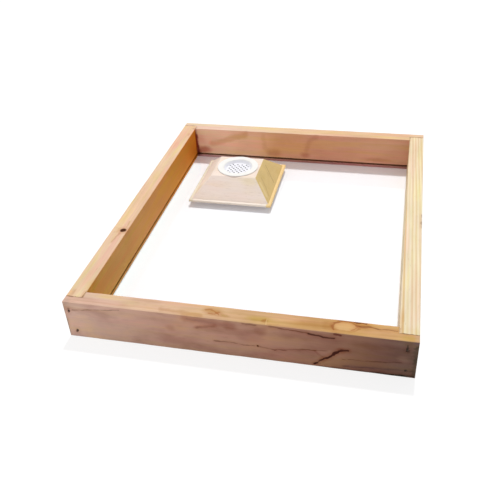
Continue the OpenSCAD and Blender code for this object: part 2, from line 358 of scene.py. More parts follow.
class Finish(Nodes):
    """Node tree of one material."""

    def __init__(self, name):
        self.material = bpy.data.materials.new(name)
        self.material.use_nodes = True
        super().__init__(self.material.node_tree)
        self.tree.nodes.clear()

    def place(self, turn=0.0, shift=(0.0, 0.0, 0.0)):
        """Object coordinates, turned about the vertical and then shifted."""
        spot = self.add("ShaderNodeTexCoord", give="Object")
        turned = {"Vector": spot, "Rotation": (0.0, 0.0, turn), "Location": shift}
        return self.add("ShaderNodeMapping", inputs=turned)

    def vector(self, operation, *values):
        """One step of arithmetic with vectors."""
        give = 1 if operation in ("DOT_PRODUCT", "DISTANCE", "LENGTH") else 0
        return self.add("ShaderNodeVectorMath", *values, operation=operation, give=give)

    def split(self, place):
        """The three parts of a vector."""
        node = self.tree.nodes.new("ShaderNodeSeparateXYZ")
        self.feed(node.inputs[0], place)
        return node.outputs

    def tag(self, name):
        """A number that the mesh carries at its points."""
        return self.add("ShaderNodeAttribute", give=2, attribute_name=name)

    def noise(self, place, kind, give=0):
        """Cloudy noise of one of the kinds in NOISE: the place is multiplied by the clouds to the metre."""
        stretch, detail, roughness = NOISE[kind]
        spot = self.vector("MULTIPLY", place, stretch)
        clouds = {"Vector": spot, "Scale": 1.0, "Detail": detail, "Roughness": roughness}
        return self.add("ShaderNodeTexNoise", give=give, inputs=clouds)

    def bent(self, place, kind, swing):
        """A place that cloudy noise pushes about, by up to swing metres along each axis."""
        push = self.noise(place, kind, give="Color")
        widths = tuple(2.0 * part for part in swing)
        starts = tuple(-part for part in swing)
        return self.vector("ADD", place, self.vector("MULTIPLY_ADD", push, widths, starts))

    def mix(self, share, first, second, way="MIX"):
        """Blends two colours."""
        colours = {0: share, 6: first, 7: second}
        return self.add("ShaderNodeMix", give=2, inputs=colours, data_type="RGBA", blend_type=way)

    def tint(self, colour, factor, share=1.0):
        """Multiplies a colour by another, as far as the share says."""
        return self.mix(share, colour, factor, "MULTIPLY")

    def ramp(self, share, stops):
        """Colour that runs through the given stops as the share goes from 0 to 1."""
        node = self.tree.nodes.new("ShaderNodeValToRGB")
        elements = node.color_ramp.elements
        while len(elements) < len(stops):
            elements.new(0.5)
        for element, (position, colour) in zip(elements, stops):
            element.position = position
            element.color = (*colour, 1.0)
        self.feed(node.inputs[0], share)
        return node.outputs[0]

    def grey(self, share, spread):
        """Colour factor that swings by spread either way as the share goes from 0 to 1."""
        level = self.scaled(share, 2.0 * spread, 1.0 - spread)
        return self.add("ShaderNodeCombineColor", level, level, level)

    def line_distance(self, place, points):
        """Distance to a chain of straight lines: the place is dropped on each and clamped to its ends."""
        nearest = None
        for start, end in zip(points[:-1], points[1:]):
            way = Vector(end) - Vector(start)
            from_start = self.vector("SUBTRACT", place, tuple(start))
            share = self.vector("DOT_PRODUCT", from_start, tuple(way / way.length_squared))
            share = self.add("ShaderNodeClamp", share, 0.0, 1.0)
            along = self.add("ShaderNodeCombineXYZ", share, share, share)
            foot = self.vector("MULTIPLY_ADD", along, tuple(way), tuple(start))
            distance = self.vector("DISTANCE", place, foot)
            nearest = distance if nearest is None else self.calc("MINIMUM", nearest, distance)
        return nearest

    def stroke(self, place, points, width, ragged=1.0):
        """Soft line through points, and the stain round it: each is 1 on the line and 0 far off.

        The line sets in at half its width and is full at a quarter of that. The stain sets in at 1.7 widths
        and is full at 0.3. The line's width is multiplied by ragged, so that noise can make it swell and thin
        out.
        """
        away = self.line_distance(place, points)
        reach = self.times(ragged, 0.5 * width)
        line = self.span(away, reach, self.times(reach, 0.25))
        return line, self.span(away, 1.7 * width, 0.3 * width)

    def oval(self, place, centre, halves):
        """Distance from an oval's middle, 1 on its outline: the offset is divided by the half sizes."""
        shift = self.vector("SUBTRACT", place, centre)
        return self.vector("LENGTH", self.vector("DIVIDE", shift, halves))

    def blotch(self, place, centre, halves):
        """Soft oval spot: 1 in its middle and 0 half its size outside its outline."""
        return self.span(self.oval(place, centre, halves), 1.5, 0.3)

    def bump(self, height, distance, strength):
        """Normals of a height of that many metres."""
        relief = {"Strength": strength, "Distance": distance, "Height": height}
        return self.add("ShaderNodeBump", inputs=relief)

    def shade(self, colour, roughness, normal, **sockets):
        """Ends the tree in the main shader, and gives the material."""
        named = {"Base Color": colour, "Roughness": roughness, "Normal": normal}
        named.update((key.replace("_", " "), value) for key, value in sockets.items())
        return self.end(self.add("ShaderNodeBsdfPrincipled", inputs=named))

    def end(self, shader):
        """Makes a shader the material's surface, and gives the material."""
        output = self.tree.nodes.new("ShaderNodeOutputMaterial")
        self.tree.links.new(shader, output.inputs[0])
        return self.material


@dataclass
class Grain:
    """How a piece was cut from the tree.

    pith is where the tree's middle lies across the grain, spacing the width of a ring and wave how far the
    rings swing, all in metres. contrast is how dark the rings are, and taper how fast they drift along the
    grain. rise and fall say where in a ring its dark part starts and ends.
    """

    pith: tuple
    spacing: float
    wave: float
    contrast: float
    taper: float
    rise: tuple = (0.25, 0.88)
    fall: float = 0.93


GRAINS = {
    "front": Grain((0.075, 0.020), 5.2 * MM, 9.0 * MM, 0.28, 0.010),
    "back": Grain((-0.050, 0.010), 4.8 * MM, 6.0 * MM, 0.40, 0.006),
    "left": Grain((0.060, -0.030), 4.2 * MM, 4.0 * MM, 0.30, 0.004),
    "right": Grain((0.110, 0.030), 4.5 * MM, 3.6 * MM, 0.9, 0.016, (0.10, 0.60), 0.72),
    "plate": Grain((0.30, 0.20), 2.6 * MM, 1.5 * MM, 0.35, 0.002),
    "block": Grain((AXIS[1] + 0.02, -0.14), 6.5 * MM, 5.0 * MM, 0.3, 0.03),
}
# How far streaks, fibres and patches lighten and darken the wood
STREAK_SPREAD = 0.11
FIBRE_SPREAD = 0.10
PATCH_SPREAD = 0.14
# Peaks of the noise that make pores, and their tone
PORE_PEAKS = (0.66, 0.76)
PORE_TONE = (0.40, 0.22, 0.11)
PORE_SHARE = 0.35
# How dark the palest year's ring is, against the darkest
PALE_YEAR = 0.3
# How far fibres and rings stand out and pores lie deep
FIBRE_RELIEF = 0.5
RING_RELIEF = 0.35
PORE_RELIEF = -0.5
# In radii of a knot: where the rings round it start and stop swelling, and by how much
KNOT_REACH = (4.5, 0.5)
KNOT_SWELL = 2.2


def wood(finish, place, grain, early, late, knots=(), contrast=None, plain=1.0):
    """Colour, height and fibres of plain wood, with the grain along x.

    Growth rings are cylinders round the pith: the distance from it, bent by slow noise and divided by the
    ring spacing, is cut to its fraction, and late wood darkens the end of each ring. Round a knot the
    distance swells. Long thin noise gives streaks and fibres, and its peaks the pores. The share plain says
    how far the streaks show.
    """
    swing = (0.0, 2.0 * grain.wave, 2.0 * grain.wave)
    bent = finish.vector("MULTIPLY_ADD", finish.noise(place, "rings", give="Color"), swing, place)
    offset = finish.vector("MULTIPLY_ADD", bent, (0.0, 1.0, 1.0), (0.0, -grain.pith[0], -grain.pith[1]))
    radius = finish.scaled(finish.split(place)[0], grain.taper, finish.vector("LENGTH", offset))
    for centre, size in knots:
        near = finish.vector("DISTANCE", bent, centre)
        swell = finish.span(near, *(part * size for part in KNOT_REACH), 0.0, KNOT_SWELL * size)
        radius = finish.calc("ADD", radius, swell)
    growth = finish.calc("DIVIDE", radius, grain.spacing)
    ring = finish.calc("FRACT", growth)
    number = finish.calc("FLOOR", growth)
    year = finish.add("ShaderNodeTexWhiteNoise", inputs={"W": number}, noise_dimensions="1D")
    dark = finish.times(finish.span(ring, *grain.rise), finish.span(ring, 1.0, grain.fall))
    dark = finish.times(dark, finish.scaled(year, 1.0 - PALE_YEAR, PALE_YEAR))
    streaks = finish.noise(place, "streaks")
    fibres = finish.noise(place, "fibres")
    patches = finish.noise(place, "patches")
    pores = finish.span(finish.noise(place, "pores"), *PORE_PEAKS)
    contrast = grain.contrast if contrast is None else contrast
    colour = finish.mix(finish.times(dark, contrast), early, late)
    colour = finish.tint(colour, finish.grey(streaks, STREAK_SPREAD), plain)
    colour = finish.tint(colour, finish.grey(fibres, FIBRE_SPREAD))
    colour = finish.tint(colour, finish.grey(patches, PATCH_SPREAD))
    colour = finish.mix(finish.times(pores, PORE_SHARE), colour, PORE_TONE)
    height = finish.scaled(fibres, FIBRE_RELIEF, finish.times(dark, RING_RELIEF))
    height = finish.scaled(pores, PORE_RELIEF, height)
    return colour, height, fibres


# The boards. A board's own frame has its length along x, the depth from its outer face along y and its height
# along z, and is turned about the vertical to its side.
BOARD_TURNS = {"front": 0.0, "right": math.pi / 2, "back": math.pi, "left": -math.pi / 2}
END_BOARDS = ("front", "back")
# Spacing of a board's lines, the finer one round its nails, and how far that reaches
BOARD_STEP = 3.0 * MM
WELL_STEP = 0.3 * MM
WELL_REACH = 2.6 * MM
# Where the wall of a nail's well starts and ends, from the well's radius
WELL_WALL = (-0.1 * MM, 0.5 * MM)
# Length over which an end board steps down to its tongue
TONGUE_STEP = 0.02 * MM
# Waves of the edge radius along a board, in radians to the metre, how far each swings it, and how far they
# shift from board to board
EDGE_WAVES = (37.0, 91.0, 203.0)
EDGE_SWING = 0.14
EDGE_SHIFT = 1.7


def stretch(start, end, steps, tags):
    """Straight part of a profile between two rows of four numbers, at the given shares of the way."""
    share = np.asarray(steps)[:, None]
    rows = (1.0 - share) * np.array(start) + share * np.array(end)
    return np.hstack([rows, np.tile(tags, (len(rows), 1))])


def quarter_round(place, depth_shares, height_shares, tags):
    """Rounded corner of a profile: the corner plus the edge radius times the given shares."""
    rows = np.column_stack([np.full(len(depth_shares), place[0]), np.full(len(depth_shares), place[1]),
                            depth_shares, height_shares])
    return np.hstack([rows, tags])


def board_profile(outer_steps):
    """Closed section of a board, from the outer lower edge up, over the top and down the grooved inner face.

    Each row holds depth and height of a sharp section, the shares of the edge radius that round its four
    corners (one minus the cosine and one minus the sine of a quarter turn), and how far the point belongs to
    the outer face, to the inner face and to an edge.
    """
    deep, high = BOARD_DEPTH, BOARD_HEIGHT
    turn = np.linspace(0.0, math.pi / 2, 5)
    rise, fall = 1.0 - np.sin(turn), 1.0 - np.cos(turn)
    share = turn / turn[-1]
    edge = np.sin(2.0 * turn)
    none = np.zeros_like(share)

    def steps(length):
        """Even shares of the way along a length, without its two ends."""
        return np.linspace(0.0, 1.0, max(int(length / BOARD_STEP), 2) + 1)[1:-1]

    return np.concatenate([
        stretch((0, 0, 0, 1), (0, high, 0, -1), outer_steps, (1, 0, 0)),
        quarter_round((0, high), fall, -rise, np.column_stack([1.0 - share, none, edge])),
        stretch((0, high, 1, 0), (deep, high, -1, 0), steps(deep), (0, 0, 0)),
        quarter_round((deep, high), -rise, -fall, np.column_stack([none, share, edge])),
        stretch((deep, high, 0, -1), (deep, GROOVE_HIGH, 0, 0), steps(high - GROOVE_HIGH), (0, 1, 0)),
        stretch((deep, GROOVE_HIGH, 0, 0), (deep - GROOVE_DEPTH, GROOVE_HIGH, 0, 0), (0, 0.5, 1), (0, 1, 0)),
        stretch((deep - GROOVE_DEPTH, GROOVE_LOW, 0, 0), (deep, GROOVE_LOW, 0, 0), (0, 0.5, 1), (0, 1, 0)),
        stretch((deep, GROOVE_LOW, 0, 0), (deep, 0, 0, 1), (0.5,), (0, 1, 0)),
        quarter_round((deep, 0), -fall, rise, np.column_stack([none, 1.0 - share, edge])),
        stretch((deep, 0, -1, 0), (0, 0, 1, 0), steps(deep), (0, 0, 0)),
        quarter_round((0, 0), rise, fall, np.column_stack([share, none, edge])),
    ])


def fine_lines(length, places):
    """Even lines over minus to plus half a length, with fine ones added round each given place."""
    lines = [np.linspace(-0.5, 0.5, int(length / BOARD_STEP) + 1)[1:-1] * length]
    for place in places:
        lines.append(place + np.arange(-WELL_REACH, WELL_REACH + 0.5 * WELL_STEP, WELL_STEP))
    return np.unique(np.round(np.concatenate(lines), 6))


def board_surface(half, shape, nails, tongue, phase):
    """Points and tags of a board in its own frame.

    The section is carried along the length. The edge radius swings by three sines. The ends are eased by
    clipping the section to a rectangle that shrinks by one minus the sine of a quarter turn. Past the
    shoulder it is clipped to the tongue. Round each nail the outer face sinks by a soft step of the distance.
    """
    heights = fine_lines(BOARD_HEIGHT, [place[1] - BOARD_HEIGHT / 2 for place in nails])
    profile = board_profile(heights / BOARD_HEIGHT + 0.5)
    ends = shape.end_radius * (1.0 - np.cos(np.linspace(0.0, math.pi / 2, 4)))
    along = fine_lines(2.0 * (half - shape.end_radius), [place[0] for place in nails])
    if tongue:
        steps = np.array([SHOULDER, SHOULDER + TONGUE_STEP])
        along = np.concatenate([along, steps, -steps])
    along = np.unique(np.round(np.concatenate([-half + ends, along, half - ends]), 7))
    short = np.clip((shape.end_radius - (half - np.abs(along))) / shape.end_radius, 0.0, 1.0)
    inset = shape.end_radius * (1.0 - np.sqrt(1.0 - short * short))[:, None]
    swing = sum(np.sin(wave * along + turn * phase) for turn, wave in enumerate(EDGE_WAVES, 1))
    radius = (shape.edge_radius * (1.0 + EDGE_SWING * swing))[:, None]
    depth = profile[None, :, 0] + radius * profile[None, :, 2]
    height = profile[None, :, 1] + radius * profile[None, :, 3]
    for place in nails:
        distance = np.hypot(along[:, None] - place[0], height - place[1])
        dent = 1.0 - smooth(shape.well_radius + WELL_WALL[0], shape.well_radius + WELL_WALL[1], distance)
        depth = depth + (profile[None, :, 4] > 0.99) * shape.well_depth * dent
    on_tongue = tongue & (np.abs(along) > SHOULDER + 0.5 * TONGUE_STEP)
    limit = np.where(on_tongue, TONGUE_DEPTH, BOARD_DEPTH)[:, None]
    depth = np.clip(depth, inset, limit - inset)
    height = np.clip(height, inset, BOARD_HEIGHT - inset)
    points = np.stack(np.broadcast_arrays(along[:, None], depth, height), axis=-1)
    tags = np.broadcast_to(profile[None, :, 4:7], points.shape).copy()
    tags[on_tongue, :, 1] = 0.0
    return points, tags


def place_board(name, side, context):
    """Builds one board, turned about the vertical to its side of the frame."""
    shape = context.scene.feeder_shape
    end_board = side in END_BOARDS
    half = HALF_WIDTH if end_board else SIDE_HALF - shape.seam_gap
    reach = HALF_LENGTH if end_board else HALF_WIDTH
    turn = BOARD_TURNS[side]
    nails = []
    if end_board:
        sign = 1.0 if side == "front" else -1.0
        nails = [(sign * across, up) for across, up in nail_places(side + "_nails")]
    points, tags = board_surface(half, shape, nails, end_board, EDGE_SHIFT * turn)
    across, deep = points[..., 0], points[..., 1] - reach
    world = np.stack([math.cos(turn) * across - math.sin(turn) * deep,
                      math.sin(turn) * across + math.cos(turn) * deep, points[..., 2]], axis=-1)
    rows, columns = world.shape[:2]
    faces = grid_faces(rows, columns, False).tolist()
    faces.append(list(range(columns)))
    faces.append(list(range((rows - 1) * columns, rows * columns)))
    values = {"outer_face": tags[..., 0], "inner_face": tags[..., 1], "edge": tags[..., 2]}
    piece = make_piece(name, world.reshape(-1, 3), faces, board_finish(side, context), values)
    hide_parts(side + "_board")
    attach(piece, "frame")


# How much more rings stand out on an outer face, how much less rings and streaks do on an inner face, and how
# much less streaks do on the front board's outer face
OUTER_CONTRAST = {"front": -0.08, "back": 0.45, "left": 0.45, "right": 0.0}
INNER_CALM = 0.6
FRONT_CALM = 0.5
# Yellow and pink tinges, and how strong they are on each board
TINGES = [(0.32, (1.0, 1.05, 0.79)), (0.5, (1.0, 1.0, 1.0)), (0.68, (1.04, 0.91, 0.97))]
TINGE_SHARES = {"front": 0.5, "back": 0.9, "left": 1.0, "right": 0.6}
# Tints from one end of a board to the other: all over, on the inner face, and on the front board's outer
# face, where they are painted light and shade
LENGTH_TINTS = {
    "front": [(0.1, (0.83, 0.83, 0.95)), (0.3, (0.84, 0.80, 0.815)), (0.5, (0.81, 0.75, 0.635)),
              (0.7, (0.68, 0.57, 0.38)), (0.85, (0.725, 0.625, 0.345)), (0.95, (0.79, 0.70, 0.435))],
    "back": [(0.0, (0.95, 0.97, 0.865)), (0.3, (0.94, 0.92, 0.855)), (0.5, (1.005, 1.005, 0.96)),
             (0.7, (0.985, 1.08, 1.17)), (1.0, (1.015, 1.13, 1.24))],
    "left": [(0.0, (0.985, 1.0, 1.105)), (0.3, (0.96, 1.035, 1.18)), (0.5, (0.975, 0.98, 1.105)),
             (0.8, (0.93, 1.005, 1.15)), (1.0, (0.93, 1.05, 1.115))],
    "right": [(0.0, (0.905, 0.95, 1.095)), (0.5, (0.99, 1.04, 1.18)), (1.0, (0.98, 1.005, 1.065))],
}
INNER_TINTS = {
    "front": [(0.0, (0.955, 0.77, 0.60)), (1.0, (0.94, 0.73, 0.55))],
    "back": [(0.05, (0.93, 0.70, 0.70)), (0.2, (1.015, 0.755, 0.76)), (0.45, (0.875, 0.595, 0.58)),
             (0.6, (0.915, 0.67, 0.555)), (0.9, (1.235, 1.13, 1.09))],
    "left": [(0.0, (0.86, 0.42, 0.065)), (0.3, (0.90, 0.545, 0.145)), (0.5, (0.85, 0.56, 0.27)),
             (0.75, (0.81, 0.60, 0.27)), (1.0, (0.815, 0.59, 0.205))],
    # Painted shade: the right board's inner face darkens at its back end, in the corner by the back board
    "right": [(0.0, (1.0, 0.99, 1.0)), (0.8, (0.98, 0.95, 0.90)), (1.0, (0.72, 0.62, 0.44))],
}
# Painted light and shade on the front board's outer face: lighter at its left end, far darker towards its
# right end
FACE_PAINTED_LIGHT_AND_SHADE = [(0.05, (1.22, 1.17, 1.195)), (0.35, (0.985, 0.86, 0.97)), (0.6, (0.925, 0.805, 1.105)),
              (0.75, (0.835, 0.755, 1.26)), (0.9, (0.455, 0.39, 0.725)), (1.0, (0.325, 0.34, 0.62))]
CLOUD_TINTS = {
    "front": [(0.34, (0.90, 0.86, 0.82)), (0.5, (1.0, 1.0, 1.0)), (0.66, (1.03, 1.02, 0.84))],
    "back": [(0.34, (0.96, 0.93, 0.90)), (0.66, (1.03, 1.04, 1.06))],
    "left": [(0.34, (0.98, 0.97, 0.95)), (0.66, (1.02, 1.03, 1.05))],
    "right": [(0.34, (0.97, 0.98, 0.94)), (0.66, (1.02, 1.02, 1.05))],
}
FACE_CLOUDS = [(0.32, (0.88, 0.83, 0.86)), (0.5, (1.0, 1.0, 1.0)), (0.68, (1.07, 1.07, 1.10))]
# Painted shade: tint that darkens the groove's walls, and the lip below the groove
GROOVE_AND_LIP_SHADE = {
    "front": ((0.6, 0.5, 0.4), (0.85, 0.8, 0.85)),
    "back": ((0.35, 0.25, 0.2), (0.66, 0.56, 0.88)),
    "left": ((0.8, 0.72, 0.6), (1.0, 1.0, 1.0)),
    "right": ((0.8, 0.72, 0.6), (1.0, 1.0, 1.0)),
}
EDGE_TONE = (0.90, 0.68, 0.42)
EDGE_SHARE = 0.35
# Halo and core of a knot, with the distances in radii of the knot at which they set in and are full
HALO_TONE = (0.55, 0.24, 0.10)
HALO_REACH = (2.8, 0.8)
HALO_SHARE = 0.45
CORE_TONE = (0.060, 0.017, 0.004)
CORE_REACH = (1.2, 0.75)
# Stain round a mark, how strong it is, and how deep the mark lies
STAIN = (0.80, 0.62, 0.52)
STAIN_SHARE = 0.4
MARK_RELIEF = -0.8
# Tones of marks
BROWN = (0.18, 0.065, 0.03)
DARK = (0.060, 0.015, 0.009)
CRACK = (0.075, 0.020, 0.012)
RUST = (0.40, 0.145, 0.04)
GREEN = (0.035, 0.04, 0.022)
BLACK = (0.012, 0.016, 0.010)
WINE = (0.12, 0.012, 0.008)
# Dark lines along the joints of the boards
SEAM_WIDTH = 1.5 * MM
SEAM_SHARE = 0.6
# How far rough noise pushes the marks about, and loose noise the blotches as well
ROUGH_SWING = metres((1.6, 1.6, 1.6))
LOOSE_SWING = metres((4.5, 3.0, 3.0))
# From which to which level of noise a mark goes from thin to wide, and from faint to full
RAGGED_SPAN = (0.32, 0.68, 0.45, 1.5)
FADED_SPAN = (0.34, 0.52, 0.55, 1.0)
# How far a blotch on a face, and one on the top, reaches into the wood, in millimetres
FACE_REACH = 8.0
TOP_REACH = 6.0
# How far the brow, which is the rounded edge of the top, lies below it
BROW_DROP = 0.4 * MM

# The next tables go by board and surface, in millimetres. A place is given along the board and across it,
# which is the height on the outer and inner face, and the depth from the outer face on the top and the brow.
# Knots: place along and across, radius
KNOTS = {
    ("front", "outer"): [(30.0, 20.6, 1.4)],
    ("back", "outer"): [(62.0, 31.0, 3.4), (-128.0, 19.0, 2.4)],
    ("left", "top"): [(96.6, 15.7, 4.4)],
    ("left", "outer"): [(-118.0, 24.0, 3.0)],
    ("right", "outer"): [(84.0, 34.0, 2.6)],
}
# Blotches: place along and across, half sizes along and across, strength, tint
BLOTCHES = {
    ("front", "outer"): [
        (-74, 33, 6, 5, 0.6, (0.78, 0.66, 0.68)),
        (-74, 33, 16, 11, 0.4, (0.92, 0.85, 0.88)),
        (-3, 46, 9, 6, 0.6, (0.80, 0.68, 0.66)),
        (20, 33, 15, 8, 0.65, (0.82, 0.72, 0.74)),
        (34, 43, 7, 6, 0.7, (0.74, 0.60, 0.58)),
        (60, 9, 26, 7, 0.5, (1.12, 1.0, 1.02)),
        (160, 30, 35, 16, 0.5, (0.92, 0.80, 0.80)),
        (138, 9, 26, 9, 0.7, (0.87, 0.82, 0.98)),
        (192, 27, 6, 6, 0.6, (1.5, 1.55, 1.5)),
        (-196, 18, 14, 22, 0.7, (0.98, 0.95, 1.14)),
    ],
    ("front", "top"): [
        (-124, 9, 12, 5, 0.7, (0.92, 0.97, 0.78)),
        (-103, 8, 18, 3, 0.5, (0.92, 0.84, 0.82)),
        (-22, 12, 12, 6.5, 0.75, (0.78, 0.66, 0.50)),
        (-9, 8, 5, 3, 0.7, (0.82, 0.78, 0.55)),
        (30, 8, 14, 5, 0.9, (0.84, 0.86, 0.50)),
        (37, 6, 3, 3, 0.6, (0.70, 0.52, 0.40)),
        (68, 15, 20, 6, 0.85, (1.15, 1.14, 1.30)),
        (88, 9, 26, 5, 0.8, (0.84, 0.76, 0.62)),
        (108, 12, 6, 8, 0.6, (0.84, 0.74, 0.60)),
        (165, 6, 24, 6, 0.8, (1.02, 0.96, 1.25)),
        (194, 4, 7, 5, 0.6, (0.95, 1.02, 0.78)),
        (204, 5, 4, 8, 0.8, (1.0, 1.1, 1.6)),
        (-203, 2, 5, 5, 0.7, (0.82, 0.86, 0.90)),
    ],
    ("back", "inner"): [
        # Dark strip down the back-left corner: partly a dark joint, partly painted shade of the corner
        (184, 28, 4, 30, 1.0, (0.30, 0.08, 0.06)),
        (184, 8, 8, 6, 0.9, (0.40, 0.18, 0.18)),
        (172, 14, 15, 7, 0.9, (0.58, 0.32, 0.30)),
        (163, 34, 6, 6, 0.6, (1.15, 1.10, 1.10)),
        (115, 28, 18, 9, 0.5, (1.08, 1.06, 1.06)),
        (40, 30, 24, 20, 0.65, (0.88, 0.82, 0.72)),
        (42, 15, 12, 9, 0.8, (0.82, 0.71, 0.61)),
        (8, 32, 18, 20, 0.5, (0.98, 0.95, 0.85)),
        (-10, 15, 9, 5, 0.8, (0.74, 0.55, 0.50)),
        (-135, 14, 26, 4, 0.7, (0.80, 0.64, 0.58)),
        (-100, 22, 70, 12, 0.5, (0.97, 0.88, 0.86)),
    ],
    ("back", "top"): [
        (60, 10, 40, 9, 0.5, (0.98, 0.96, 0.82)),
        (-60, 10, 30, 8, 0.5, (1.0, 0.98, 0.82)),
        (-150, 19, 45, 5, 0.6, (1.0, 0.93, 0.86)),
        (-197, 5, 13, 7, 0.9, (1.02, 1.12, 1.2)),
    ],
    ("left", "top"): [
        (15, 3, 14, 3, 0.6, (0.95, 1.04, 0.84)),
        (-60, 14, 20, 7, 0.6, (0.98, 1.02, 0.82)),
        (-140, 9, 14, 6, 0.5, (0.97, 1.02, 0.86)),
        (-165, 7, 14, 6, 0.6, (1.03, 0.91, 0.90)),
        (-205, 14, 18, 7, 0.6, (1.02, 0.92, 0.93)),
        (165, 14, 22, 6, 0.5, (1.04, 1.02, 1.06)),
        (60, 10, 26, 7, 0.5, (1.04, 1.0, 1.06)),
    ],
    ("left", "inner"): [
        # Dark strip down the back-left corner: partly a dark joint, partly painted shade of the corner
        (-231, 28, 5, 28, 0.9, (0.45, 0.18, 0.12)),
        (-200, 30, 18, 20, 0.5, (0.92, 0.88, 0.70)),
        (215, 48, 14, 8, 0.6, (0.95, 0.97, 0.50)),
        (150, 20, 40, 12, 0.4, (0.96, 0.92, 0.85)),
    ],
    ("right", "top"): [
        (-222, 20, 22, 3, 0.8, (0.90, 0.80, 0.62)),
        (-236, 8, 6, 9, 0.6, (0.94, 0.90, 0.80)),
        (-120, 8, 60, 4, 0.5, (0.98, 1.02, 0.92)),
        (60, 4, 60, 3, 0.5, (0.98, 1.03, 0.92)),
    ],
}
# Washes, which are wide soft streaks: places along and across, width, strength, tint
WASHES = {
    ("front", "outer"): [
        ([(-55, 50.5), (-25, 48.5), (0, 46)], 4.5, 0.7, (0.80, 0.67, 0.64)),
        ([(-41, 37.7), (-20, 43.8)], 3.0, 0.6, (0.84, 0.66, 0.60)),
        ([(96, 24), (104, 16)], 1.4, 0.6, (0.78, 0.64, 0.60)),
    ],
    ("front", "top"): [([(-85, 6.5), (-60, 5), (-37, 2.5)], 2.6, 0.8, (0.82, 0.74, 0.65))],
    ("back", "inner"): [
        ([(156, 27), (135, 33), (115, 41), (93, 48)], 5.0, 0.8, (0.84, 0.72, 0.58)),
        ([(62, 46), (60, 26), (52, 14)], 4.0, 0.5, (0.86, 0.78, 0.68)),
        ([(-30, 50), (-20, 44), (-16, 34), (-12, 24)], 4.0, 0.6, (0.84, 0.74, 0.66)),
    ],
}
# Marks, which are cracks and dark lines: places along and across, width, strength, tone
MARKS = {
    ("front", "outer"): [
        ([(-195, 42.7), (-165, 46.8), (-150, 48.6), (-135, 50.7)], 1.8, 0.45, BROWN),
        ([(-41, 37.7), (-31, 40.0), (-20, 43.8)], 4.4, 0.5, (0.27, 0.12, 0.07)),
        ([(-22, 20.3), (0, 21.4), (13, 19.4), (30, 20.3), (52, 17.6)], 2.0, 0.65, BROWN),
        ([(50, 17.6), (62, 19.5), (74, 22.5), (96, 24.7)], 2.6, 0.7, BROWN),
        ([(94, 24.5), (109, 26.5)], 2.0, 0.4, BROWN),
        ([(95.5, 3.6), (101, 9.4), (107, 14.0)], 3.2, 1.4, CRACK),
        ([(105, 12.4), (113, 18.5), (119.5, 25.7), (125, 29.0)], 4.0, 1.8, CRACK),
        ([(124, 28.8), (131.5, 29.6)], 3.8, 1.8, (0.085, 0.024, 0.015)),
        ([(44, 52.5), (60, 51.0), (74, 50.2), (87, 48.6)], 3.2, 0.7, BROWN),
        ([(87, 48.6), (98, 47.3), (104, 45.7), (116, 45.7)], 3.2, 0.85, DARK),
        ([(116, 52.0), (123, 51.4)], 4.0, 0.75, WINE),
        ([(13, 51.8), (28, 51.6)], 3.0, 0.5, BROWN),
        ([(-52, 49.5), (-30, 48.5), (-5, 46.5)], 4.5, 0.3, (0.30, 0.16, 0.12)),
        ([(126, 16.0), (160, 18.0), (191, 21.4)], 2.2, 0.5, DARK),
        ([(128, 5.5), (160, 8.5), (204, 10.0)], 4.0, 0.5, (0.06, 0.035, 0.04)),
        ([(100, 1.0), (150, 1.0), (205, 2.5)], 4.5, 0.5, GREEN),
        ([(205, 45.0), (205, 4.0)], 9.0, 0.6, GREEN),
        ([(194.6, 39.5), (194.6, 48.0)], 4.2, 0.9, BLACK),
        ([(-201, 38.6), (-200.2, 43.5)], 4.0, 0.75, DARK),
        ([(-196, 8.6), (-195.2, 11.6)], 4.4, 0.75, DARK),
        ([(165, 1.2), (206, 1.8)], 3.6, 0.9, BLACK),
        ([(-205.6, 51), (-205.6, 3)], 2.6, 0.6, (0.30, 0.26, 0.22)),
    ],
    ("front", "top"): [
        ([(139, 14.8), (152, 15.3)], 5.0, 0.75, (0.33, 0.12, 0.035)),
        ([(140, 14.6), (152, 15.5), (163, 13.6), (174, 14.2), (183, 13.6)], 2.2, 0.7, BROWN),
        ([(119, 21.4), (133, 21.2), (149, 20.8)], 3.6, 1.5, (0.21, 0.065, 0.02)),
        ([(114.5, 5.5), (113.0, 11), (114.5, 16), (121, 19.5)], 3.8, 0.8, (0.34, 0.12, 0.035)),
        ([(133, 6.5), (137, 9.0), (141.5, 14.0)], 3.0, 0.7, RUST),
        ([(121, 19.5), (133, 19.0), (141.5, 15.0)], 2.6, 0.7, RUST),
        ([(-33, 13.5), (-27, 15.5), (-22, 13), (-16, 7)], 3.8, 0.6, RUST),
        ([(-28, 9), (-21, 8), (-17, 12)], 3.2, 0.55, RUST),
        ([(-13, 8), (-5, 7)], 2.6, 0.4, (0.45, 0.30, 0.10)),
        ([(40, 0.5), (40, 10)], 1.8, 0.4, (0.92, 0.70, 0.36)),
        ([(34, 5.5), (39, 7.5)], 2.2, 0.4, RUST),
    ],
    ("left", "top"): [
        ([(126, 11.0), (104, 13.5)], 3.2, 0.35, RUST),
        ([(88, 17.5), (74, 17.0)], 3.0, 0.25, RUST),
        ([(240, 1.8), (232, 3.2)], 5.0, 0.6, (0.85, 0.46, 0.22)),
        ([(238, 6.0), (229, 6.4)], 2.4, 0.45, (0.45, 0.28, 0.12)),
        ([(241.5, 20.9), (231, 21.4)], 2.8, 1.2, BROWN),
        ([(-201, 17.5), (-210, 17.0)], 2.4, 0.35, (0.62, 0.26, 0.16)),
    ],
    ("right", "brow"): [([(-30, 0.6), (-14, 0.8), (2, 0.5)], 2.8, 0.6, BROWN)],
    ("right", "top"): [
        ([(-240, 20.5), (-233, 21)], 2.6, 0.5, RUST),
        ([(241, 21.0), (228, 21.6)], 3.0, 0.7, (0.26, 0.18, 0.07)),
    ],
}
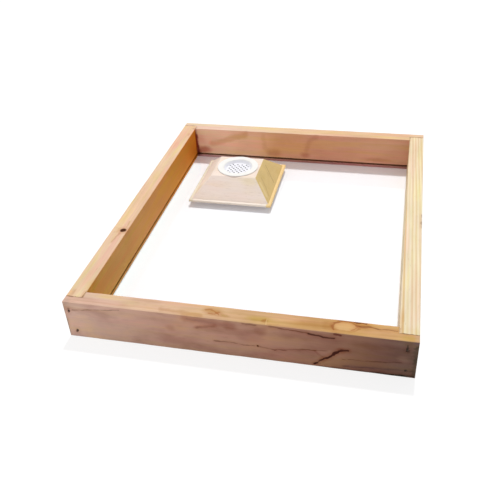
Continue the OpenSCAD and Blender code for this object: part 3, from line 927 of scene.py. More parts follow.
# Pale island in the figure of the front board's top: place and half sizes along and across
ISLAND_PLACE = (127.0, 12.2)
ISLAND_HALVES = (15.2, 8.3)
ISLAND_TONE = (0.86, 0.55, 0.28)
ISLAND_SHARE = 0.3
# Its outline: width as a share of the half sizes, breaks by the level of noise, and fading towards the front
ISLAND_LINE = (0.19, 0.04)
ISLAND_BREAKS = (0.40, 0.60, 0.0, 0.6)
ISLAND_FADE = (4.0 * MM, 13.0 * MM, 0.35, 1.0)


def rows_of(table, side):
    """Rows of a table for one board, each with the name of its surface in front."""
    return [(surface, *row) for (board, surface), rows in table.items() if board == side for row in rows]


def on_board(surface, along, across):
    """Point in metres on a surface of a board, from millimetres along and across it."""
    if surface in ("top", "brow"):
        return (along * MM, across * MM, BOARD_HEIGHT - (BROW_DROP if surface == "brow" else 0.0))
    return (along * MM, BOARD_DEPTH if surface == "inner" else 0.0, across * MM)


def blotch_halves(surface, along, across):
    """Half sizes of a blotch in metres, from millimetres along and across its surface."""
    return metres((along, across, TOP_REACH) if surface == "top" else (along, FACE_REACH, across))


def seam_lines(side, gap):
    """Lines of the joints on a board's top: across a side board's ends, or round them on an end board."""
    chain = [(SIDE_HALF - gap, 0.0), (SIDE_HALF - gap, BOARD_DEPTH)]
    if side in END_BOARDS:
        chain = [(HALF_WIDTH, TONGUE_DEPTH), (SHOULDER, TONGUE_DEPTH), (SHOULDER, BOARD_DEPTH)]
    return [[(sign * along, deep, BOARD_HEIGHT) for along, deep in chain] for sign in (-1, 1)]


def board_finish(side, context):
    """Planed pine of one board, with its own figure, knots, blotches and marks, and painted shade in its
    groove and on the lip below it.
    """
    colours = context.scene.feeder_colours
    finish = Finish(side + "_wood")
    reach = HALF_LENGTH if side in END_BOARDS else HALF_WIDTH
    place = finish.place(-BOARD_TURNS[side], (0.0, reach, 0.0))
    inner = finish.tag("inner_face")
    outer = finish.tag("outer_face")
    grain = GRAINS[side]
    contrast = finish.scaled(outer, OUTER_CONTRAST[side], grain.contrast)
    contrast = finish.scaled(inner, -INNER_CALM * grain.contrast, contrast)
    plain = finish.scaled(inner, -INNER_CALM, 1.0)
    if side == "front":
        plain = finish.scaled(outer, -FRONT_CALM, plain)
    early = getattr(colours, side + "_early")
    late = getattr(colours, side + "_late")
    knots = [(on_board(*spot), size * MM) for *spot, size in rows_of(KNOTS, side)]
    colour, height, fibres = wood(finish, place, grain, early, late, knots, contrast, plain)
    rough_place = finish.bent(place, "rough", ROUGH_SWING)
    loose_place = finish.bent(rough_place, "loose", LOOSE_SWING)
    colour = board_tints(finish, side, place, colour, inner, outer)
    colour = board_blotches(finish, side, loose_place, colour)
    for centre, size in knots:
        near = finish.vector("DISTANCE", rough_place, centre)
        halo = finish.span(near, *(part * size for part in HALO_REACH))
        colour = finish.mix(finish.times(halo, HALO_SHARE), colour, HALO_TONE)
        core = finish.span(near, *(part * size for part in CORE_REACH))
        colour = finish.mix(core, colour, CORE_TONE)
    ragged = finish.span(finish.noise(place, "ragged"), *RAGGED_SPAN)
    faded = finish.span(finish.noise(place, "faded"), *FADED_SPAN)
    for surface, spots, width, strength, tone in rows_of(MARKS, side):
        points = [on_board(surface, *spot) for spot in spots]
        line, stain = finish.stroke(rough_place, points, width * MM, ragged)
        colour = finish.tint(colour, STAIN, finish.times(stain, STAIN_SHARE * strength))
        share = finish.times(finish.times(line, strength), faded)
        colour = finish.mix(share, colour, tone)
        height = finish.scaled(share, MARK_RELIEF, height)
    for points in seam_lines(side, context.scene.feeder_shape.seam_gap):
        line = finish.stroke(rough_place, points, SEAM_WIDTH, ragged)[0]
        colour = finish.mix(finish.times(line, SEAM_SHARE), colour, BROWN)
    # Painted shade in the groove and on the lip below it
    for share, tint in zip(groove_shares(finish, place, inner), GROOVE_AND_LIP_SHADE[side]):
        colour = finish.tint(colour, tint, share)
    edge = finish.times(finish.tag("edge"), finish.noise(place, "edge"))
    colour = finish.mix(finish.times(edge, EDGE_SHARE), colour, EDGE_TONE)
    roughness = finish.scaled(fibres, 0.22, 0.55)
    return finish.shade(colour, roughness, finish.bump(height, 0.12 * MM, 0.6), Specular_IOR_Level=0.05)


def board_tints(finish, side, place, colour, inner, outer):
    """Tinges, clouds and the slow change of a board's colour along its length, with painted light and shade
    on the front board's outer face.
    """
    tinge = finish.noise(place, "tinge")
    colour = finish.tint(colour, finish.ramp(tinge, TINGES), TINGE_SHARES[side])
    half = HALF_WIDTH if side in END_BOARDS else SIDE_HALF
    run = finish.scaled(finish.split(place)[0], 0.5 / half, 0.5)
    colour = finish.tint(colour, finish.ramp(run, LENGTH_TINTS[side]))
    colour = finish.tint(colour, finish.ramp(run, INNER_TINTS[side]), inner)
    clouds = finish.noise(place, "tint")
    colour = finish.tint(colour, finish.ramp(clouds, CLOUD_TINTS[side]))
    if side == "front":
        # Painted light and shade along the front board's outer face, broken up by its clouds
        shade = finish.tint(finish.ramp(run, FACE_PAINTED_LIGHT_AND_SHADE), finish.ramp(clouds, FACE_CLOUDS))
        colour = finish.tint(colour, shade, outer)
    return colour


def board_blotches(finish, side, place, colour):
    """Blotches and washes of a board, and the front board's island with its broken rusty outline."""
    for surface, along, across, half_along, half_across, strength, tint in rows_of(BLOTCHES, side):
        halves = blotch_halves(surface, half_along, half_across)
        share = finish.blotch(place, on_board(surface, along, across), halves)
        colour = finish.tint(colour, tint, finish.times(share, strength))
    for surface, spots, width, strength, tint in rows_of(WASHES, side):
        share = finish.stroke(place, [on_board(surface, *spot) for spot in spots], width * MM)[1]
        colour = finish.tint(colour, tint, finish.times(share, strength))
    if side != "front":
        return colour
    away = finish.oval(place, on_board("top", *ISLAND_PLACE), blotch_halves("top", *ISLAND_HALVES))
    colour = finish.mix(finish.times(finish.span(away, 1.0, 0.7), ISLAND_SHARE), colour, ISLAND_TONE)
    line = finish.span(finish.calc("ABSOLUTE", finish.calc("SUBTRACT", away, 1.0)), *ISLAND_LINE)
    broken = finish.span(finish.noise(place, "island"), *ISLAND_BREAKS)
    fainter = finish.span(finish.split(place)[1], *ISLAND_FADE)
    return finish.mix(finish.times(line, finish.times(broken, fainter)), colour, RUST)


def groove_shares(finish, place, inner):
    """How far a place belongs to the walls of the groove, and to the lip below it, where shade is painted."""
    spot = finish.split(place)
    deep = finish.span(spot[1], BOARD_DEPTH - 0.1 * MM, BOARD_DEPTH - 0.6 * MM)
    middle = 0.5 * (GROOVE_LOW + GROOVE_HIGH)
    half = GROOVE_HIGH - middle
    away = finish.calc("ABSOLUTE", finish.calc("SUBTRACT", spot[2], middle))
    level = finish.span(away, half + 0.5 * MM, half + 0.2 * MM)
    groove = finish.times(inner, finish.times(deep, level))
    lip = finish.times(inner, finish.span(spot[2], GROOVE_LOW + 0.2 * MM, GROOVE_LOW - 0.6 * MM))
    return groove, lip


class FEEDER_OT_boards(bpy.types.Operator):
    """Build the four boards of the frame"""

    bl_idname = "feeder.boards"
    bl_label = "Boards"

    def execute(self, context):
        for side in BOARD_TURNS:
            place_board(side + "_plank", side, context)
        return {"FINISHED"}


class FEEDER_OT_floor(bpy.types.Operator):
    """Finish the clear floor sheet and the beads of sealant"""

    bl_idname = "feeder.floor"
    bl_label = "Floor sheet"

    def execute(self, context):
        give_finish(sheet_finish(), "floor_sheet")
        give_finish(sealant_finish(context.scene.feeder_colours), "groove_sealant", "plate_sealant")
        return {"FINISHED"}


# Clear acrylic: its tint and its index of refraction
SHEET_TINT = (0.992, 0.995, 0.994)
SHEET_INDEX = 1.49


def sheet_finish():
    """Clear polished sheet: light passes straight through, gloss grows towards grazing, with faint scuffs."""
    finish = Finish("clear_sheet")
    scuffs = finish.span(finish.noise(finish.place(), "scuffs"), 0.55, 0.8)
    clear = finish.add("ShaderNodeBsdfTransparent", SHEET_TINT)
    gloss = finish.add("ShaderNodeBsdfGlossy", inputs={"Roughness": finish.scaled(scuffs, 0.10, 0.02)})
    front = finish.calc("SUBTRACT", 1.0, finish.add("ShaderNodeNewGeometry", give="Backfacing"))
    share = finish.times(finish.add("ShaderNodeFresnel", SHEET_INDEX), front)
    return finish.end(finish.add("ShaderNodeMixShader", share, clear, gloss))


def sealant_finish(colours):
    """Milky silicone with a soft, slightly uneven skin."""
    finish = Finish("sealant")
    lumps = finish.noise(finish.place(), "lumps")
    colour = finish.tint(colours.sealant, finish.grey(lumps, 0.08))
    roughness = finish.scaled(lumps, 0.2, 0.28)
    return finish.shade(colour, roughness, finish.bump(lumps, 0.3 * MM, 0.4), Alpha=0.7)


# The plate and the block. Radius of their upright edges, easing of the passage's rim, and easing of the
# block's foot up its slope and inwards
PLATE_HIP = 2.0 * MM
BLOCK_HIP = 0.9 * MM
RIM_EASE = 0.5 * MM
FOOT_RISE = 0.4 * MM
FOOT_EASE = 0.3 * MM
# Points of a hip and of a side between two hips, and rows of the block's foot, of its slope and of its top
# edge
HIP_POINTS = 7
SIDE_POINTS = 15
FOOT_ROWS = 3
SLOPE_ROWS = 13
EDGE_ROWS = 5


def outline(half_sizes, radius):
    """Rounded rectangles, one for each row of half sizes: four quarter rounds joined by straight sides.

    Gives the points, and for each point how far its side faces along x, from minus 1 to 1.
    """
    quarter = np.arange(4)[:, None] * math.pi / 2
    angle = quarter + np.linspace(0.0, math.pi / 2, HIP_POINTS)
    signs = np.array([(1, 1), (-1, 1), (-1, -1), (1, -1)])
    middles = (half_sizes - radius)[:, None, None, :] * signs[None, :, None, :]
    hips = middles + radius * np.stack([np.cos(angle), np.sin(angle)], axis=-1)
    starts = hips[:, :, -1:]
    ends = np.roll(hips, -1, axis=1)[:, :, :1]
    sides = starts + np.linspace(0.0, 1.0, SIDE_POINTS + 2)[1:-1, None] * (ends - starts)
    points = np.concatenate([hips, sides], axis=2).reshape(len(half_sizes), -1, 2)
    facing = np.cos(angle) * np.abs(np.cos(angle))
    facing = np.hstack([facing, np.repeat(facing[:, -1:], SIDE_POINTS, axis=1)])
    return points, facing.ravel()


def circle_of(points, radius):
    """Circle with one point towards each point of an outline, by the angle in its own half sizes."""
    half = np.abs(points).max(axis=0)
    angle = np.arctan2(points[:, 1] / half[1], points[:, 0] / half[0])
    return radius * np.stack([np.cos(angle), np.sin(angle)], axis=-1)


def curve_through(first, middle, last, count):
    """Quadratic curve from first to last that heads for middle."""
    share = np.linspace(0.0, 1.0, count)[:, None]
    first, middle, last = (np.array(point) for point in (first, middle, last))
    return (1 - share) ** 2 * first + 2 * share * (1 - share) * middle + share ** 2 * last


def pierced_block(half_sizes, heights, hip):
    """Ring-shaped solid round the passage, from rows of half sizes and heights, bottom to top.

    The outline of each row is joined to the next, the last to the passage's rim, and the passage's wall
    closes the solid. Gives the grid of points, and for each point how far it faces along x on a slope, and
    whether it lies on one.
    """
    points, facing = outline(half_sizes, hip)
    rim = circle_of(points[-1], PASSAGE_RADIUS)
    wide = circle_of(points[-1], PASSAGE_RADIUS + RIM_EASE)
    low, high = heights[0], heights[-1]
    rings = [np.column_stack([rim, np.full(len(rim), low)])[None]]
    levels = np.broadcast_to(heights[:, None, None], (*points.shape[:2], 1))
    rings.append(np.concatenate([points, levels], axis=-1))
    for level, ring in ((high, 0.5 * (points[-1] + wide)), (high, wide), (high - RIM_EASE, rim)):
        rings.append(np.column_stack([ring, np.full(len(ring), level)])[None])
    solid = np.concatenate(rings, axis=0)
    slope = np.zeros(len(solid))
    slope[1:1 + len(points)] = 1.0
    slope[len(points) - 1:len(points) + 1] = 0.0
    solid[..., :2] += AXIS
    return solid, slope[:, None] * facing[None, :], slope[:, None] * np.ones(len(facing))[None, :]


class FEEDER_OT_block(bpy.types.Operator):
    """Build the base plate and the entry block"""

    bl_idname = "feeder.block"
    bl_label = "Entry block"

    def execute(self, context):
        shape = context.scene.feeder_shape
        self.plate(context, shape.plate_edge)
        self.block(context, shape.block_edge)
        return {"FINISHED"}

    def plate(self, context, ease):
        """Thin plate with eased edges: the outline shrinks by the easing at the bottom and top."""
        turn = np.linspace(0.0, math.pi / 2, 4)
        below = 0.25 * ease
        lower = np.column_stack([below * (1 - np.sin(turn)), PLATE_LOW[2] + below * (1 - np.cos(turn))])
        upper = np.column_stack([ease * (1 - np.cos(turn)), PLATE_HIGH[2] - ease * (1 - np.sin(turn))])
        rows = np.concatenate([lower, upper])
        solid = pierced_block(PLATE_HALF[None, :] - rows[:, :1], rows[:, 1], PLATE_HIP)[0]
        faces = grid_faces(*solid.shape[:2], True).tolist()
        material = plate_finish(context.scene.feeder_colours)
        piece = make_piece("ledge_plate", solid.reshape(-1, 3), faces, material)
        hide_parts("base_plate")
        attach(piece, "frame")

    def block(self, context, ease):
        """Sloping block: the outline goes straight from the foot to the top, with curves at both edges."""
        foot = np.array([*FOOT_HALF, BLOCK_LOW[2]])
        top = np.array([*TOP_HALF, BLOCK_HIGH[2]])
        part = (top - foot) / np.linalg.norm(top - foot)
        slope_start = foot + part * FOOT_RISE
        slope_end = top - part * ease
        foot_in = foot - np.array([FOOT_EASE, FOOT_EASE, 0.0])
        top_in = top - np.array([ease, ease, 0.0])
        shares = np.linspace(0, 1, SLOPE_ROWS + 2)[1:-1, None]
        rows = np.concatenate([curve_through(foot_in, foot, slope_start, FOOT_ROWS),
                               slope_start + shares * (slope_end - slope_start),
                               curve_through(slope_end, top, top_in, EDGE_ROWS)])
        solid, slope_facing, sawn = pierced_block(rows[:, :2], rows[:, 2], BLOCK_HIP)
        faces = grid_faces(*solid.shape[:2], True).tolist()
        values = {"slope_facing": slope_facing, "sawn": sawn}
        material = block_finish(context.scene.feeder_colours)
        piece = make_piece("sloped_block", solid.reshape(-1, 3), faces, material, values)
        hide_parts("entry_block")
        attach(piece, "frame")


# Tints of the plate's ledge on the right and on the left, and how far in from its edge they start and end
PLATE_SIDES = ((1.0, (0.95, 0.77, 0.40)), (-1.0, (0.84, 0.87, 0.78)))
PLATE_SIDE_START = 9.0 * MM
PLATE_SIDE_END = 5.5 * MM
# Colour of the plate's rings, as shares of its wood's
PLATE_RINGS = (0.90, 0.80, 0.62)


def plate_finish(colours):
    """Sanded pale plate with soft straight grain."""
    finish = Finish("plate_wood")
    place = finish.place()
    late = product(colours.plate_wood, PLATE_RINGS)
    colour, height, fibres = wood(finish, place, GRAINS["plate"], colours.plate_wood, late)
    across = finish.split(place)[0]
    for sign, tint in PLATE_SIDES:
        rim = AXIS[0] + sign * PLATE_HALF[0]
        share = finish.span(across, rim - sign * PLATE_SIDE_START, rim - sign * PLATE_SIDE_END)
        colour = finish.tint(colour, tint, share)
    roughness = finish.scaled(fibres, 0.2, 0.5)
    return finish.shade(colour, roughness, finish.bump(height, 0.1 * MM, 0.5), Specular_IOR_Level=0.35)


def on_right_slope(along, up):
    """Point on the block's right slope, at a share of its length and of its height."""
    half = (1.0 - up) * FOOT_HALF + up * TOP_HALF
    height = (1.0 - up) * BLOCK_LOW[2] + up * BLOCK_HIGH[2]
    return (AXIS[0] + half[0], AXIS[1] + along * half[1], height)


# Blotches of the block: place and half sizes in millimetres, strength, tint
BLOCK_BLOTCHES = [
    ((-57, 94, 34), (15, 9, 6), 0.8, (0.97, 0.97, 0.84)),
    ((-112, 84, 28), (16, 12, 9), 0.7, (1.02, 0.97, 0.97)),
    ((-70, 76, 17), (22, 8, 6), 0.6, (1.0, 0.96, 0.96)),
    ((-138, 90, 15), (8, 14, 8), 0.8, (0.96, 0.96, 0.78)),
]
# Marks on its right slope: shares of the slope's length and height, width in millimetres, strength, tone
BLOCK_MARKS = [
    ([(0.55, 0.8), (0.2, 0.45), (-0.02, 0.12)], 3.0, 0.5, (0.38, 0.24, 0.10)),
    ([(0.42, 0.85), (0.05, 0.42)], 2.4, 0.35, (0.42, 0.28, 0.12)),
    ([(-0.45, 0.75), (-0.62, 0.35), (-0.72, 0.1)], 3.2, 0.45, (0.45, 0.28, 0.10)),
    ([(-0.8, 0.7), (-0.85, 0.2)], 8.0, 0.5, (0.84, 0.68, 0.36)),
]
# Colour of its rings, as shares of its wood's, and how far streaks show
BLOCK_RINGS = (0.95, 0.88, 0.78)
BLOCK_STREAKS = 0.35
BLOCK_PATCH_TINT = (0.97, 0.95, 0.84)
BLOCK_TOP_TINT = (0.91, 0.885, 0.845)
BLOCK_LEFT_TINT = (0.95, 0.97, 0.95)
# How far noise pushes the blotches and marks about
BLOCK_SWING = metres((1.2, 1.2, 1.2))
SAW_TONE = (0.55, 0.40, 0.26)
# Middle of the arcs that the saw left
SAW_MIDDLE = (AXIS[0] + 0.12, AXIS[1] - 0.02, -0.09)


def block_finish(colours):
    """Sawn pale block: long grain on its front and top, darker end grain with saw marks on its sides, the
    right side darker still as painted shade.
    """
    finish = Finish("block_wood")
    place = finish.place()
    late = product(colours.block_wood, BLOCK_RINGS)
    grain = GRAINS["block"]
    colour, height, fibres = wood(finish, place, grain, colours.block_wood, late, plain=BLOCK_STREAKS)
    clouds = finish.noise(place, "block")
    colour = finish.tint(colour, BLOCK_PATCH_TINT, finish.times(finish.span(clouds, 0.5, 0.7), 0.6))
    sawn = finish.tag("sawn")
    colour = finish.tint(colour, BLOCK_TOP_TINT, finish.span(sawn, 0.5, 0.0))
    facing = finish.tag("slope_facing")
    # Right slope darker: end grain, and partly painted shade, as the left slope, also end grain, stays pale
    end_and_shade_tint = tuple(end / side for end, side in zip(colours.block_end_and_shade, colours.block_wood))
    colour = finish.tint(colour, end_and_shade_tint, finish.span(facing, 0.2, 0.8))
    colour = finish.tint(colour, BLOCK_LEFT_TINT, finish.span(facing, -0.2, -0.8))
    rough_place = finish.bent(place, "block_rough", BLOCK_SWING)
    for centre, halves, strength, tint in BLOCK_BLOTCHES:
        share = finish.blotch(rough_place, metres(centre), metres(halves))
        colour = finish.tint(colour, tint, finish.times(share, strength))
    for spots, width, strength, tone in BLOCK_MARKS:
        line = finish.stroke(rough_place, [on_right_slope(*spot) for spot in spots], width * MM)[0]
        colour = finish.mix(finish.times(line, strength), colour, tone)
    arcs = finish.vector("DISTANCE", place, SAW_MIDDLE)
    cuts = finish.noise(finish.add("ShaderNodeCombineXYZ", arcs, 0.0, 0.0), "saw")
    cut_share = finish.times(sawn, cuts)
    height = finish.scaled(cut_share, 0.6, height)
    colour = finish.mix(finish.times(cut_share, 0.06), colour, SAW_TONE)
    roughness = finish.scaled(fibres, 0.2, 0.55)
    return finish.shade(colour, roughness, finish.bump(height, 0.15 * MM, 0.4), Specular_IOR_Level=0.3)


# The cup. Lengths are those of its CAD node
FLANGE_LOW = BLOCK_HIGH[2]
FLANGE_TOP = CUP_HIGH[2]
SKIRT_RADIUS = 26.0 * MM
CUP_WALL = 1.6 * MM
MOUTH_RADIUS = 23.5 * MM
BOWL_RADIUS = 19.25 * MM
BOWL_DEPTH = 5.0 * MM
STRAINER_HOLE = 1.4 * MM
HOLE_STEP = 7.4 * MM
HOLE_ROW = 4.4 * MM
# Height of the pale rim at both ends of a hole's wall
HOLE_RIM = 0.1 * MM
# Points round the cup and round a hole
CUP_POINTS = 96
HOLE_POINTS = 16


def round_off(points, radii, count=6):
    """Polyline whose inner corners become curves: each starts and ends a given length from its corner."""
    points = [np.array(point) for point in points]
    parts = [points[0][None]]
    for before, place, after, radius in zip(points[:-2], points[1:-1], points[2:], radii):
        first = place + radius * (before - place) / np.linalg.norm(before - place)
        last = place + radius * (after - place) / np.linalg.norm(after - place)
        parts.append(curve_through(first, place, last, count))
    parts.append(points[-1][None])
    return np.concatenate(parts)


def cup_profile():
    """Half section of the cup, from the edge of its floor over the flange, down the skirt and back below."""
    floor = FLANGE_TOP - BOWL_DEPTH
    bottom = CUP_LOW[2]
    inner_skirt = SKIRT_RADIUS - CUP_WALL
    start = BOWL_RADIUS - 0.5 * MM
    corners = [
        (start, floor), (BOWL_RADIUS, floor), (MOUTH_RADIUS, FLANGE_TOP), (FLANGE_RADIUS, FLANGE_TOP),
        (FLANGE_RADIUS, FLANGE_LOW), (SKIRT_RADIUS, FLANGE_LOW), (SKIRT_RADIUS, bottom),
        (inner_skirt, bottom), (inner_skirt, FLANGE_LOW - 0.3 * MM), (MOUTH_RADIUS, FLANGE_LOW - 0.6 * MM),
        (BOWL_RADIUS + 0.9 * MM, floor - CUP_WALL), (start, floor - 0.9 * MM),
    ]
    return round_off(corners, metres((0.45, 1.1, 0.75, 0.75, 0.05, 0.7, 0.7, 0.3, 0.3, 0.4)))


def ring_of(radius, count):
    """Even points of a circle: radius times cosine and sine of the angle."""
    angle = np.arange(count) * 2.0 * math.pi / count
    return radius * np.column_stack([np.cos(angle), np.sin(angle)])


def hole_places():
    """Middles of the strainer's holes: rows of four and five in turn, each row half a step off the last."""
    places = []
    for row in range(-3, 4):
        count = 5 if row % 2 == 0 else 4
        across = (np.arange(count) - 0.5 * (count - 1)) * HOLE_STEP
        places.append(np.column_stack([across, np.full(count, row * HOLE_ROW)]))
    return np.concatenate(places)


def strainer_floor(radius, level):
    """Flat disc with round holes: the rim and the holes are joined by triangles that leave the holes open.

    Gives the points, the triangles, and the places of each hole's points in the list.
    """
    places = hole_places()
    holes = (places[:, None, :] + ring_of(STRAINER_HOLE, HOLE_POINTS)[None, :, :]).reshape(-1, 2)
    flat = np.concatenate([ring_of(radius, CUP_POINTS), holes])
    rim = np.arange(CUP_POINTS)
    walls = CUP_POINTS + np.arange(len(holes)).reshape(-1, HOLE_POINTS)
    loops = [np.column_stack([rim, np.roll(rim, -1)])]
    loops.append(np.stack([walls, np.roll(walls, -1, axis=1)], axis=-1).reshape(-1, 2))
    found = delaunay_2d_cdt([Vector(spot) for spot in flat / MM], np.concatenate(loops).tolist(), [], 1, 1e-5)
    corners = np.array([list(spot) for spot in found[0]]) * MM
    triangles = np.array(found[2])
    middle = corners[triangles].mean(axis=1)
    gap = np.hypot(*(middle[:, None, :] - places[None, :, :]).transpose(2, 0, 1)).min(axis=1)
    points = np.column_stack([corners + AXIS, np.full(len(corners), level)])
    return points, triangles[gap > 0.97 * STRAINER_HOLE], walls


def cup_surface():
    """Points and faces of the cup, and a tag that is 1 inside its holes.

    The half section is turned about the axis. A pierced disc closes it above and below, and the walls of the
    holes join the two discs, with a narrow rim at each end.
    """
    profile = cup_profile()
    turned = profile[:, :1, None] * ring_of(1.0, CUP_POINTS)[None] + AXIS
    levels = np.broadcast_to(profile[:, 1:, None], (*turned.shape[:2], 1))
    parts = [np.concatenate([turned, levels], axis=-1).reshape(-1, 3)]
    faces = grid_faces(len(profile), CUP_POINTS, False).tolist()
    count = len(parts[0])
    rings = []
    for radius, level in (profile[0], profile[-1]):
        flat, triangles, holes = strainer_floor(radius, level)
        parts.append(flat)
        faces += (triangles + count).tolist()
        rings.append(holes + count)
        count += len(flat)
    upper, lower = rings
    points = np.concatenate(parts)
    below = points[upper.ravel()] - (0.0, 0.0, HOLE_RIM)
    above = points[lower.ravel()] + (0.0, 0.0, HOLE_RIM)
    inside = count + np.arange(upper.size).reshape(upper.shape)
    chain = (upper, inside, inside + upper.size, lower)
    for first, second in zip(chain[:-1], chain[1:]):
        wall = np.stack([first, np.roll(first, -1, axis=1), np.roll(second, -1, axis=1), second], axis=-1)
        faces += wall.reshape(-1, 4).tolist()
    points = np.concatenate([points, below, above])
    hollow = (np.arange(len(points)) >= count).astype(float)
    return points, faces, hollow


class FEEDER_OT_cup(bpy.types.Operator):
    """Build the strainer cup"""

    bl_idname = "feeder.cup"
    bl_label = "Strainer cup"

    def execute(self, context):
        points, faces, hollow = cup_surface()
        material = plastic_finish(context.scene.feeder_colours)
        piece = make_piece("perforated_cup", points, faces, material, {"hollow": hollow})
        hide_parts("strainer_cup")
        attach(piece, "cup")
        return {"FINISHED"}


# Painted cool shade inside the bowl
BOWL_SHADE_TINT = (0.97, 0.98, 1.08)
# Painted shade that darkens the walls of the holes
HOLE_SHADE_TONE = (0.20, 0.20, 0.22)
HOLE_SHADE_SHARE = 0.8


def plastic_finish(colours):
    """White moulded plastic with a fine satin skin, painted cool shade in the bowl, a trace of dust, and
    painted shade in the holes.
    """
    finish = Finish("white_plastic")
    place = finish.place()
    dust = finish.noise(place, "dust")
    skin = finish.noise(place, "skin")
    colour = finish.tint(colours.plastic, finish.grey(dust, 0.03))
    # Painted cool shade inside the bowl, below its mouth
    bowl = finish.span(finish.split(place)[2], FLANGE_TOP - 0.3 * MM, FLANGE_TOP - 2.0 * MM)
    colour = finish.tint(colour, BOWL_SHADE_TINT, bowl)
    # Painted shade in the holes
    colour = finish.mix(finish.times(finish.tag("hollow"), HOLE_SHADE_SHARE), colour, HOLE_SHADE_TONE)
    roughness = finish.scaled(dust, 0.16, 0.30)
    return finish.shade(colour, roughness, finish.bump(skin, 0.02 * MM, 0.5))


class FEEDER_OT_fasteners(bpy.types.Operator):
    """Finish the nails, the screws and the washers"""

    bl_idname = "feeder.fasteners"
    bl_label = "Nails and screws"

    def execute(self, context):
        colours = context.scene.feeder_colours
        give_finish(nail_finish(colours), "front_nails", "back_nails")
        give_finish(screw_finish(colours), "block_screws", "screw_washers")
        return {"FINISHED"}


NAIL_RUST = (0.14, 0.06, 0.03)


def nail_finish(colours):
    """Dulled steel with brown rust in patches."""
    finish = Finish("nail_steel")
    rust = finish.span(finish.noise(finish.place(), "rust"), 0.42, 0.62)
    colour = finish.mix(rust, colours.nail_steel, NAIL_RUST)
    roughness = finish.scaled(rust, 0.4, 0.42)
    metal = finish.scaled(rust, -0.8, 0.9)
    return finish.shade(colour, roughness, finish.bump(rust, 0.05 * MM, 0.5), Metallic=metal)


def screw_finish(colours):
    """Stainless steel with fine turned marks and light stains."""
    finish = Finish("screw_steel")
    place = finish.place()
    stain = finish.noise(place, "stain")
    scratches = finish.noise(place, "scratches")
    colour = finish.tint(colours.screw_steel, finish.grey(stain, 0.12))
    roughness = finish.scaled(scratches, 0.25, 0.22)
    return finish.shade(colour, roughness, finish.bump(scratches, 0.01 * MM, 0.5), Metallic=1.0)


# The stage. Half the floor's width, and how far it lies below the feeder
FLOOR_HALF = 6.0
FLOOR_DROP = 0.1 * MM
# Colour of the floor inside the frame, and outside it for light that isn't seen and for what is seen
FLOOR_INSIDE = (0.905, 0.945, 0.975)
FLOOR_UNSEEN = (0.60, 0.60, 0.61)
FLOOR_SEEN = (0.25, 0.25, 0.253)
# Glow that makes the lit floor show white: its colour in the tray, by the left board and outside, its
# strength in the tray and outside, and the width over which it sets in round the passage
GLOW_INSIDE = (1.2, 0.86, 0.9)
GLOW_BY_BOARD = (1.2, 1.85, 2.0)
GLOW_OUTSIDE = (1.0, 1.0, 1.0)
GLOW_STRENGTH = (0.13, 0.81)
GLOW_RIM = 4.0 * MM
# How far the glow by the left board reaches from it, and how far short of the back it sets in and is full
BY_BOARD_WIDTH = 34.0 * MM
BY_BOARD_BACK = (45.0 * MM, 58.0 * MM)
# How far the floor is open for unseen light under the base plate, so that its underside isn't black
UNDER_PLATE = 0.6
# How far the opening under the boards stays inside their faces
UNDER_BOARD_INSET = 2.0 * MM
FILL_PLACE = (-0.9, -1.3, 0.7)
FILL_SIZE = 1.0
SENSOR_WIDTH = 36.0
CLIP_START = 0.01


def from_middle(finish, spot, halves, middle=(0.0, 0.0)):
    """How far a place lies from a rectangle's middle, 1 on its outline: the larger of the two shares."""
    shares = []
    for part, centre, half in zip(spot, middle, halves):
        away = finish.calc("ABSOLUTE", finish.calc("SUBTRACT", part, centre))
        shares.append(finish.calc("DIVIDE", away, half))
    return finish.calc("MAXIMUM", *shares)


def by_left_board(finish, spot):
    """1 at the foot of the left board, whose orange light is evened out there, and 0 away from it."""
    near = finish.span(spot[0], BY_BOARD_WIDTH - SHOULDER, -SHOULDER)
    lit = finish.span(spot[1], *(HALF_LENGTH - back for back in BY_BOARD_BACK))
    return finish.times(near, lit)


def under_boards(finish, spot):
    """1 where the boards cover the floor, which lets light reach their undersides, and 0 elsewhere."""
    shares = []
    for inset in (UNDER_BOARD_INSET, BOARD_DEPTH - UNDER_BOARD_INSET):
        shares.append(from_middle(finish, spot, (HALF_WIDTH - inset, HALF_LENGTH - inset)))
    covered = finish.calc("LESS_THAN", shares[0], 1.0)
    return finish.times(covered, finish.calc("GREATER_THAN", shares[1], 1.0))


def under_plate(finish, spot, passage):
    """1 where the base plate covers the floor, apart from the passage, and 0 elsewhere."""
    covered = finish.calc("LESS_THAN", from_middle(finish, spot, PLATE_HALF, AXIS), 1.0)
    return finish.times(covered, finish.calc("GREATER_THAN", passage, PASSAGE_RADIUS))


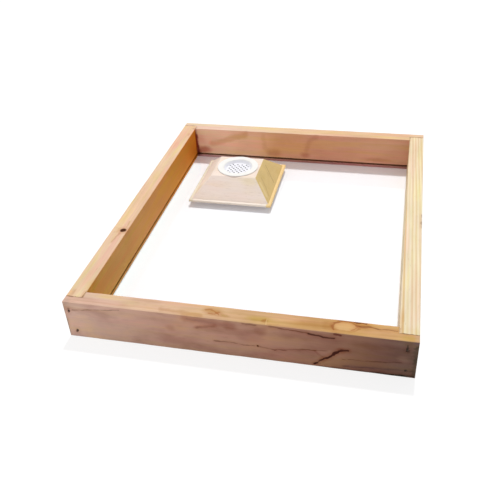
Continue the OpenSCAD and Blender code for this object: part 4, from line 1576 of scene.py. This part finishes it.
def floor_finish():
    """Matt pale floor, seen from above only. It shows white where it is lit, and keeps the shadow."""
    finish = Finish("pale_floor")
    place = finish.place()
    spot = finish.split(place)
    seen = finish.seen()
    middle_line = (HALF_WIDTH - 0.5 * BOARD_DEPTH, HALF_LENGTH - 0.5 * BOARD_DEPTH)
    outside = finish.span(from_middle(finish, spot, middle_line), 0.98, 1.02)
    far = finish.mix(seen, FLOOR_UNSEEN, FLOOR_SEEN)
    matt = finish.add("ShaderNodeBsdfDiffuse", finish.mix(outside, FLOOR_INSIDE, far))
    inside = finish.mix(by_left_board(finish, spot), GLOW_INSIDE, GLOW_BY_BOARD)
    passage = finish.vector("DISTANCE", place, (*AXIS, 0.0))
    strength = finish.times(finish.span(outside, 0.0, 1.0, *GLOW_STRENGTH),
                            finish.span(passage, PASSAGE_RADIUS, PASSAGE_RADIUS + GLOW_RIM))
    tone = finish.mix(outside, inside, GLOW_OUTSIDE)
    glow = finish.add("ShaderNodeEmission", tone, finish.times(seen, strength))
    lit = finish.add("ShaderNodeAddShader", matt, glow)
    unseen = finish.span(seen, 1.0, 0.0, 0.0, UNDER_PLATE)
    below = finish.times(under_plate(finish, spot, passage), unseen)
    below = finish.calc("MAXIMUM", under_boards(finish, spot), below)
    below = finish.calc("MAXIMUM", below, finish.add("ShaderNodeNewGeometry", give="Backfacing"))
    clear = finish.add("ShaderNodeBsdfTransparent")
    return finish.end(finish.add("ShaderNodeMixShader", below, lit, clear))


class FEEDER_OT_stage(bpy.types.Operator):
    """Set up the floor, the light and the camera"""

    bl_idname = "feeder.stage"
    bl_label = "Stage"

    def execute(self, context):
        stage = context.scene.feeder_stage
        self.floor()
        self.light(context, stage)
        self.camera(context, stage)
        context.scene.view_settings.view_transform = "Standard"
        return {"FINISHED"}

    def floor(self):
        """Flat square floor just below the feeder."""
        signs = ((-1, -1), (1, -1), (1, 1), (-1, 1))
        corners = [(x * FLOOR_HALF, y * FLOOR_HALF, -FLOOR_DROP) for x, y in signs]
        mesh = bpy.data.meshes.new("floor")
        mesh.from_pydata(corners, [], [(0, 1, 2, 3)])
        mesh.materials.append(floor_finish())
        floor = add_object("floor", mesh)

    def light(self, context, stage):
        """One soft sun from behind, a soft lamp at the front left, and an even sky that shows white."""
        lamp = bpy.data.lights.new("sun", "SUN")
        lamp.energy = stage.sun_strength
        lamp.angle = stage.sun_spread
        sun = add_object("sun", lamp)
        sun.rotation_euler = (stage.sun_height - math.pi / 2, 0.0, 0.0)
        soft = bpy.data.lights.new("fill", "AREA")
        soft.energy = stage.fill_power
        soft.size = FILL_SIZE
        fill = add_object("fill", soft)
        fill.location = FILL_PLACE
        fill.rotation_euler = (-Vector(FILL_PLACE)).to_track_quat("-Z", "Y").to_euler()
        world = bpy.data.worlds.new("sky")
        context.scene.world = world
        world.use_nodes = True
        sky = Nodes(world.node_tree)
        background = world.node_tree.nodes["Background"]
        level = sky.add("ShaderNodeMapRange", sky.seen(), 0.0, 1.0, stage.sky_strength, 1.0)
        sky.feed(background.inputs["Color"], (1.0, 1.0, 1.0))
        sky.feed(background.inputs["Strength"], level)

    def camera(self, context, stage):
        """Camera at the photograph's viewing angle."""
        lens = bpy.data.cameras.new("camera")
        lens.lens = stage.lens
        lens.sensor_width = SENSOR_WIDTH
        lens.sensor_fit = "AUTO"
        lens.clip_start = CLIP_START
        camera = add_object("camera", lens)
        turn = (Matrix.Rotation(stage.camera_pan, 4, "Z") @ Matrix.Rotation(stage.camera_tilt, 4, "X")
                @ Matrix.Rotation(stage.camera_roll, 4, "Z"))
        camera.matrix_world = Matrix.Translation(stage.camera_place) @ turn
        context.scene.camera = camera


OPERATORS = (FEEDER_OT_boards, FEEDER_OT_floor, FEEDER_OT_block, FEEDER_OT_cup, FEEDER_OT_fasteners,
             FEEDER_OT_stage)
GROUPS = {"feeder_shape": FeederShape, "feeder_colours": FeederColours, "feeder_stage": FeederStage}


class FEEDER_PT_panel(bpy.types.Panel):
    """Lists the pieces of the feeder and their values"""

    bl_idname = "FEEDER_PT_panel"
    bl_label = "Hive top feeder"
    bl_space_type = "VIEW_3D"
    bl_region_type = "UI"
    bl_category = "Feeder"

    def draw(self, context):
        layout = self.layout
        for operator in OPERATORS:
            layout.operator(operator.bl_idname)
        for key, group in GROUPS.items():
            box = layout.box()
            for name in group.__annotations__:
                box.prop(getattr(context.scene, key), name)


CLASSES = (*GROUPS.values(), *OPERATORS, FEEDER_PT_panel)


def register():
    """Registers the classes and hangs the groups on the scene."""
    for kind in CLASSES:
        bpy.utils.register_class(kind)
    for name, group in GROUPS.items():
        setattr(bpy.types.Scene, name, PointerProperty(type=group))


def unregister():
    """Takes the groups off the scene and the classes out of Blender."""
    for name in GROUPS:
        delattr(bpy.types.Scene, name)
    for kind in reversed(CLASSES):
        bpy.utils.unregister_class(kind)


def main():
    """Builds the feeder and its stage."""
    register()
    bpy.ops.feeder.boards()
    bpy.ops.feeder.floor()
    bpy.ops.feeder.block()
    bpy.ops.feeder.cup()
    bpy.ops.feeder.fasteners()
    bpy.ops.feeder.stage()


if __name__ == "__main__":
    main()
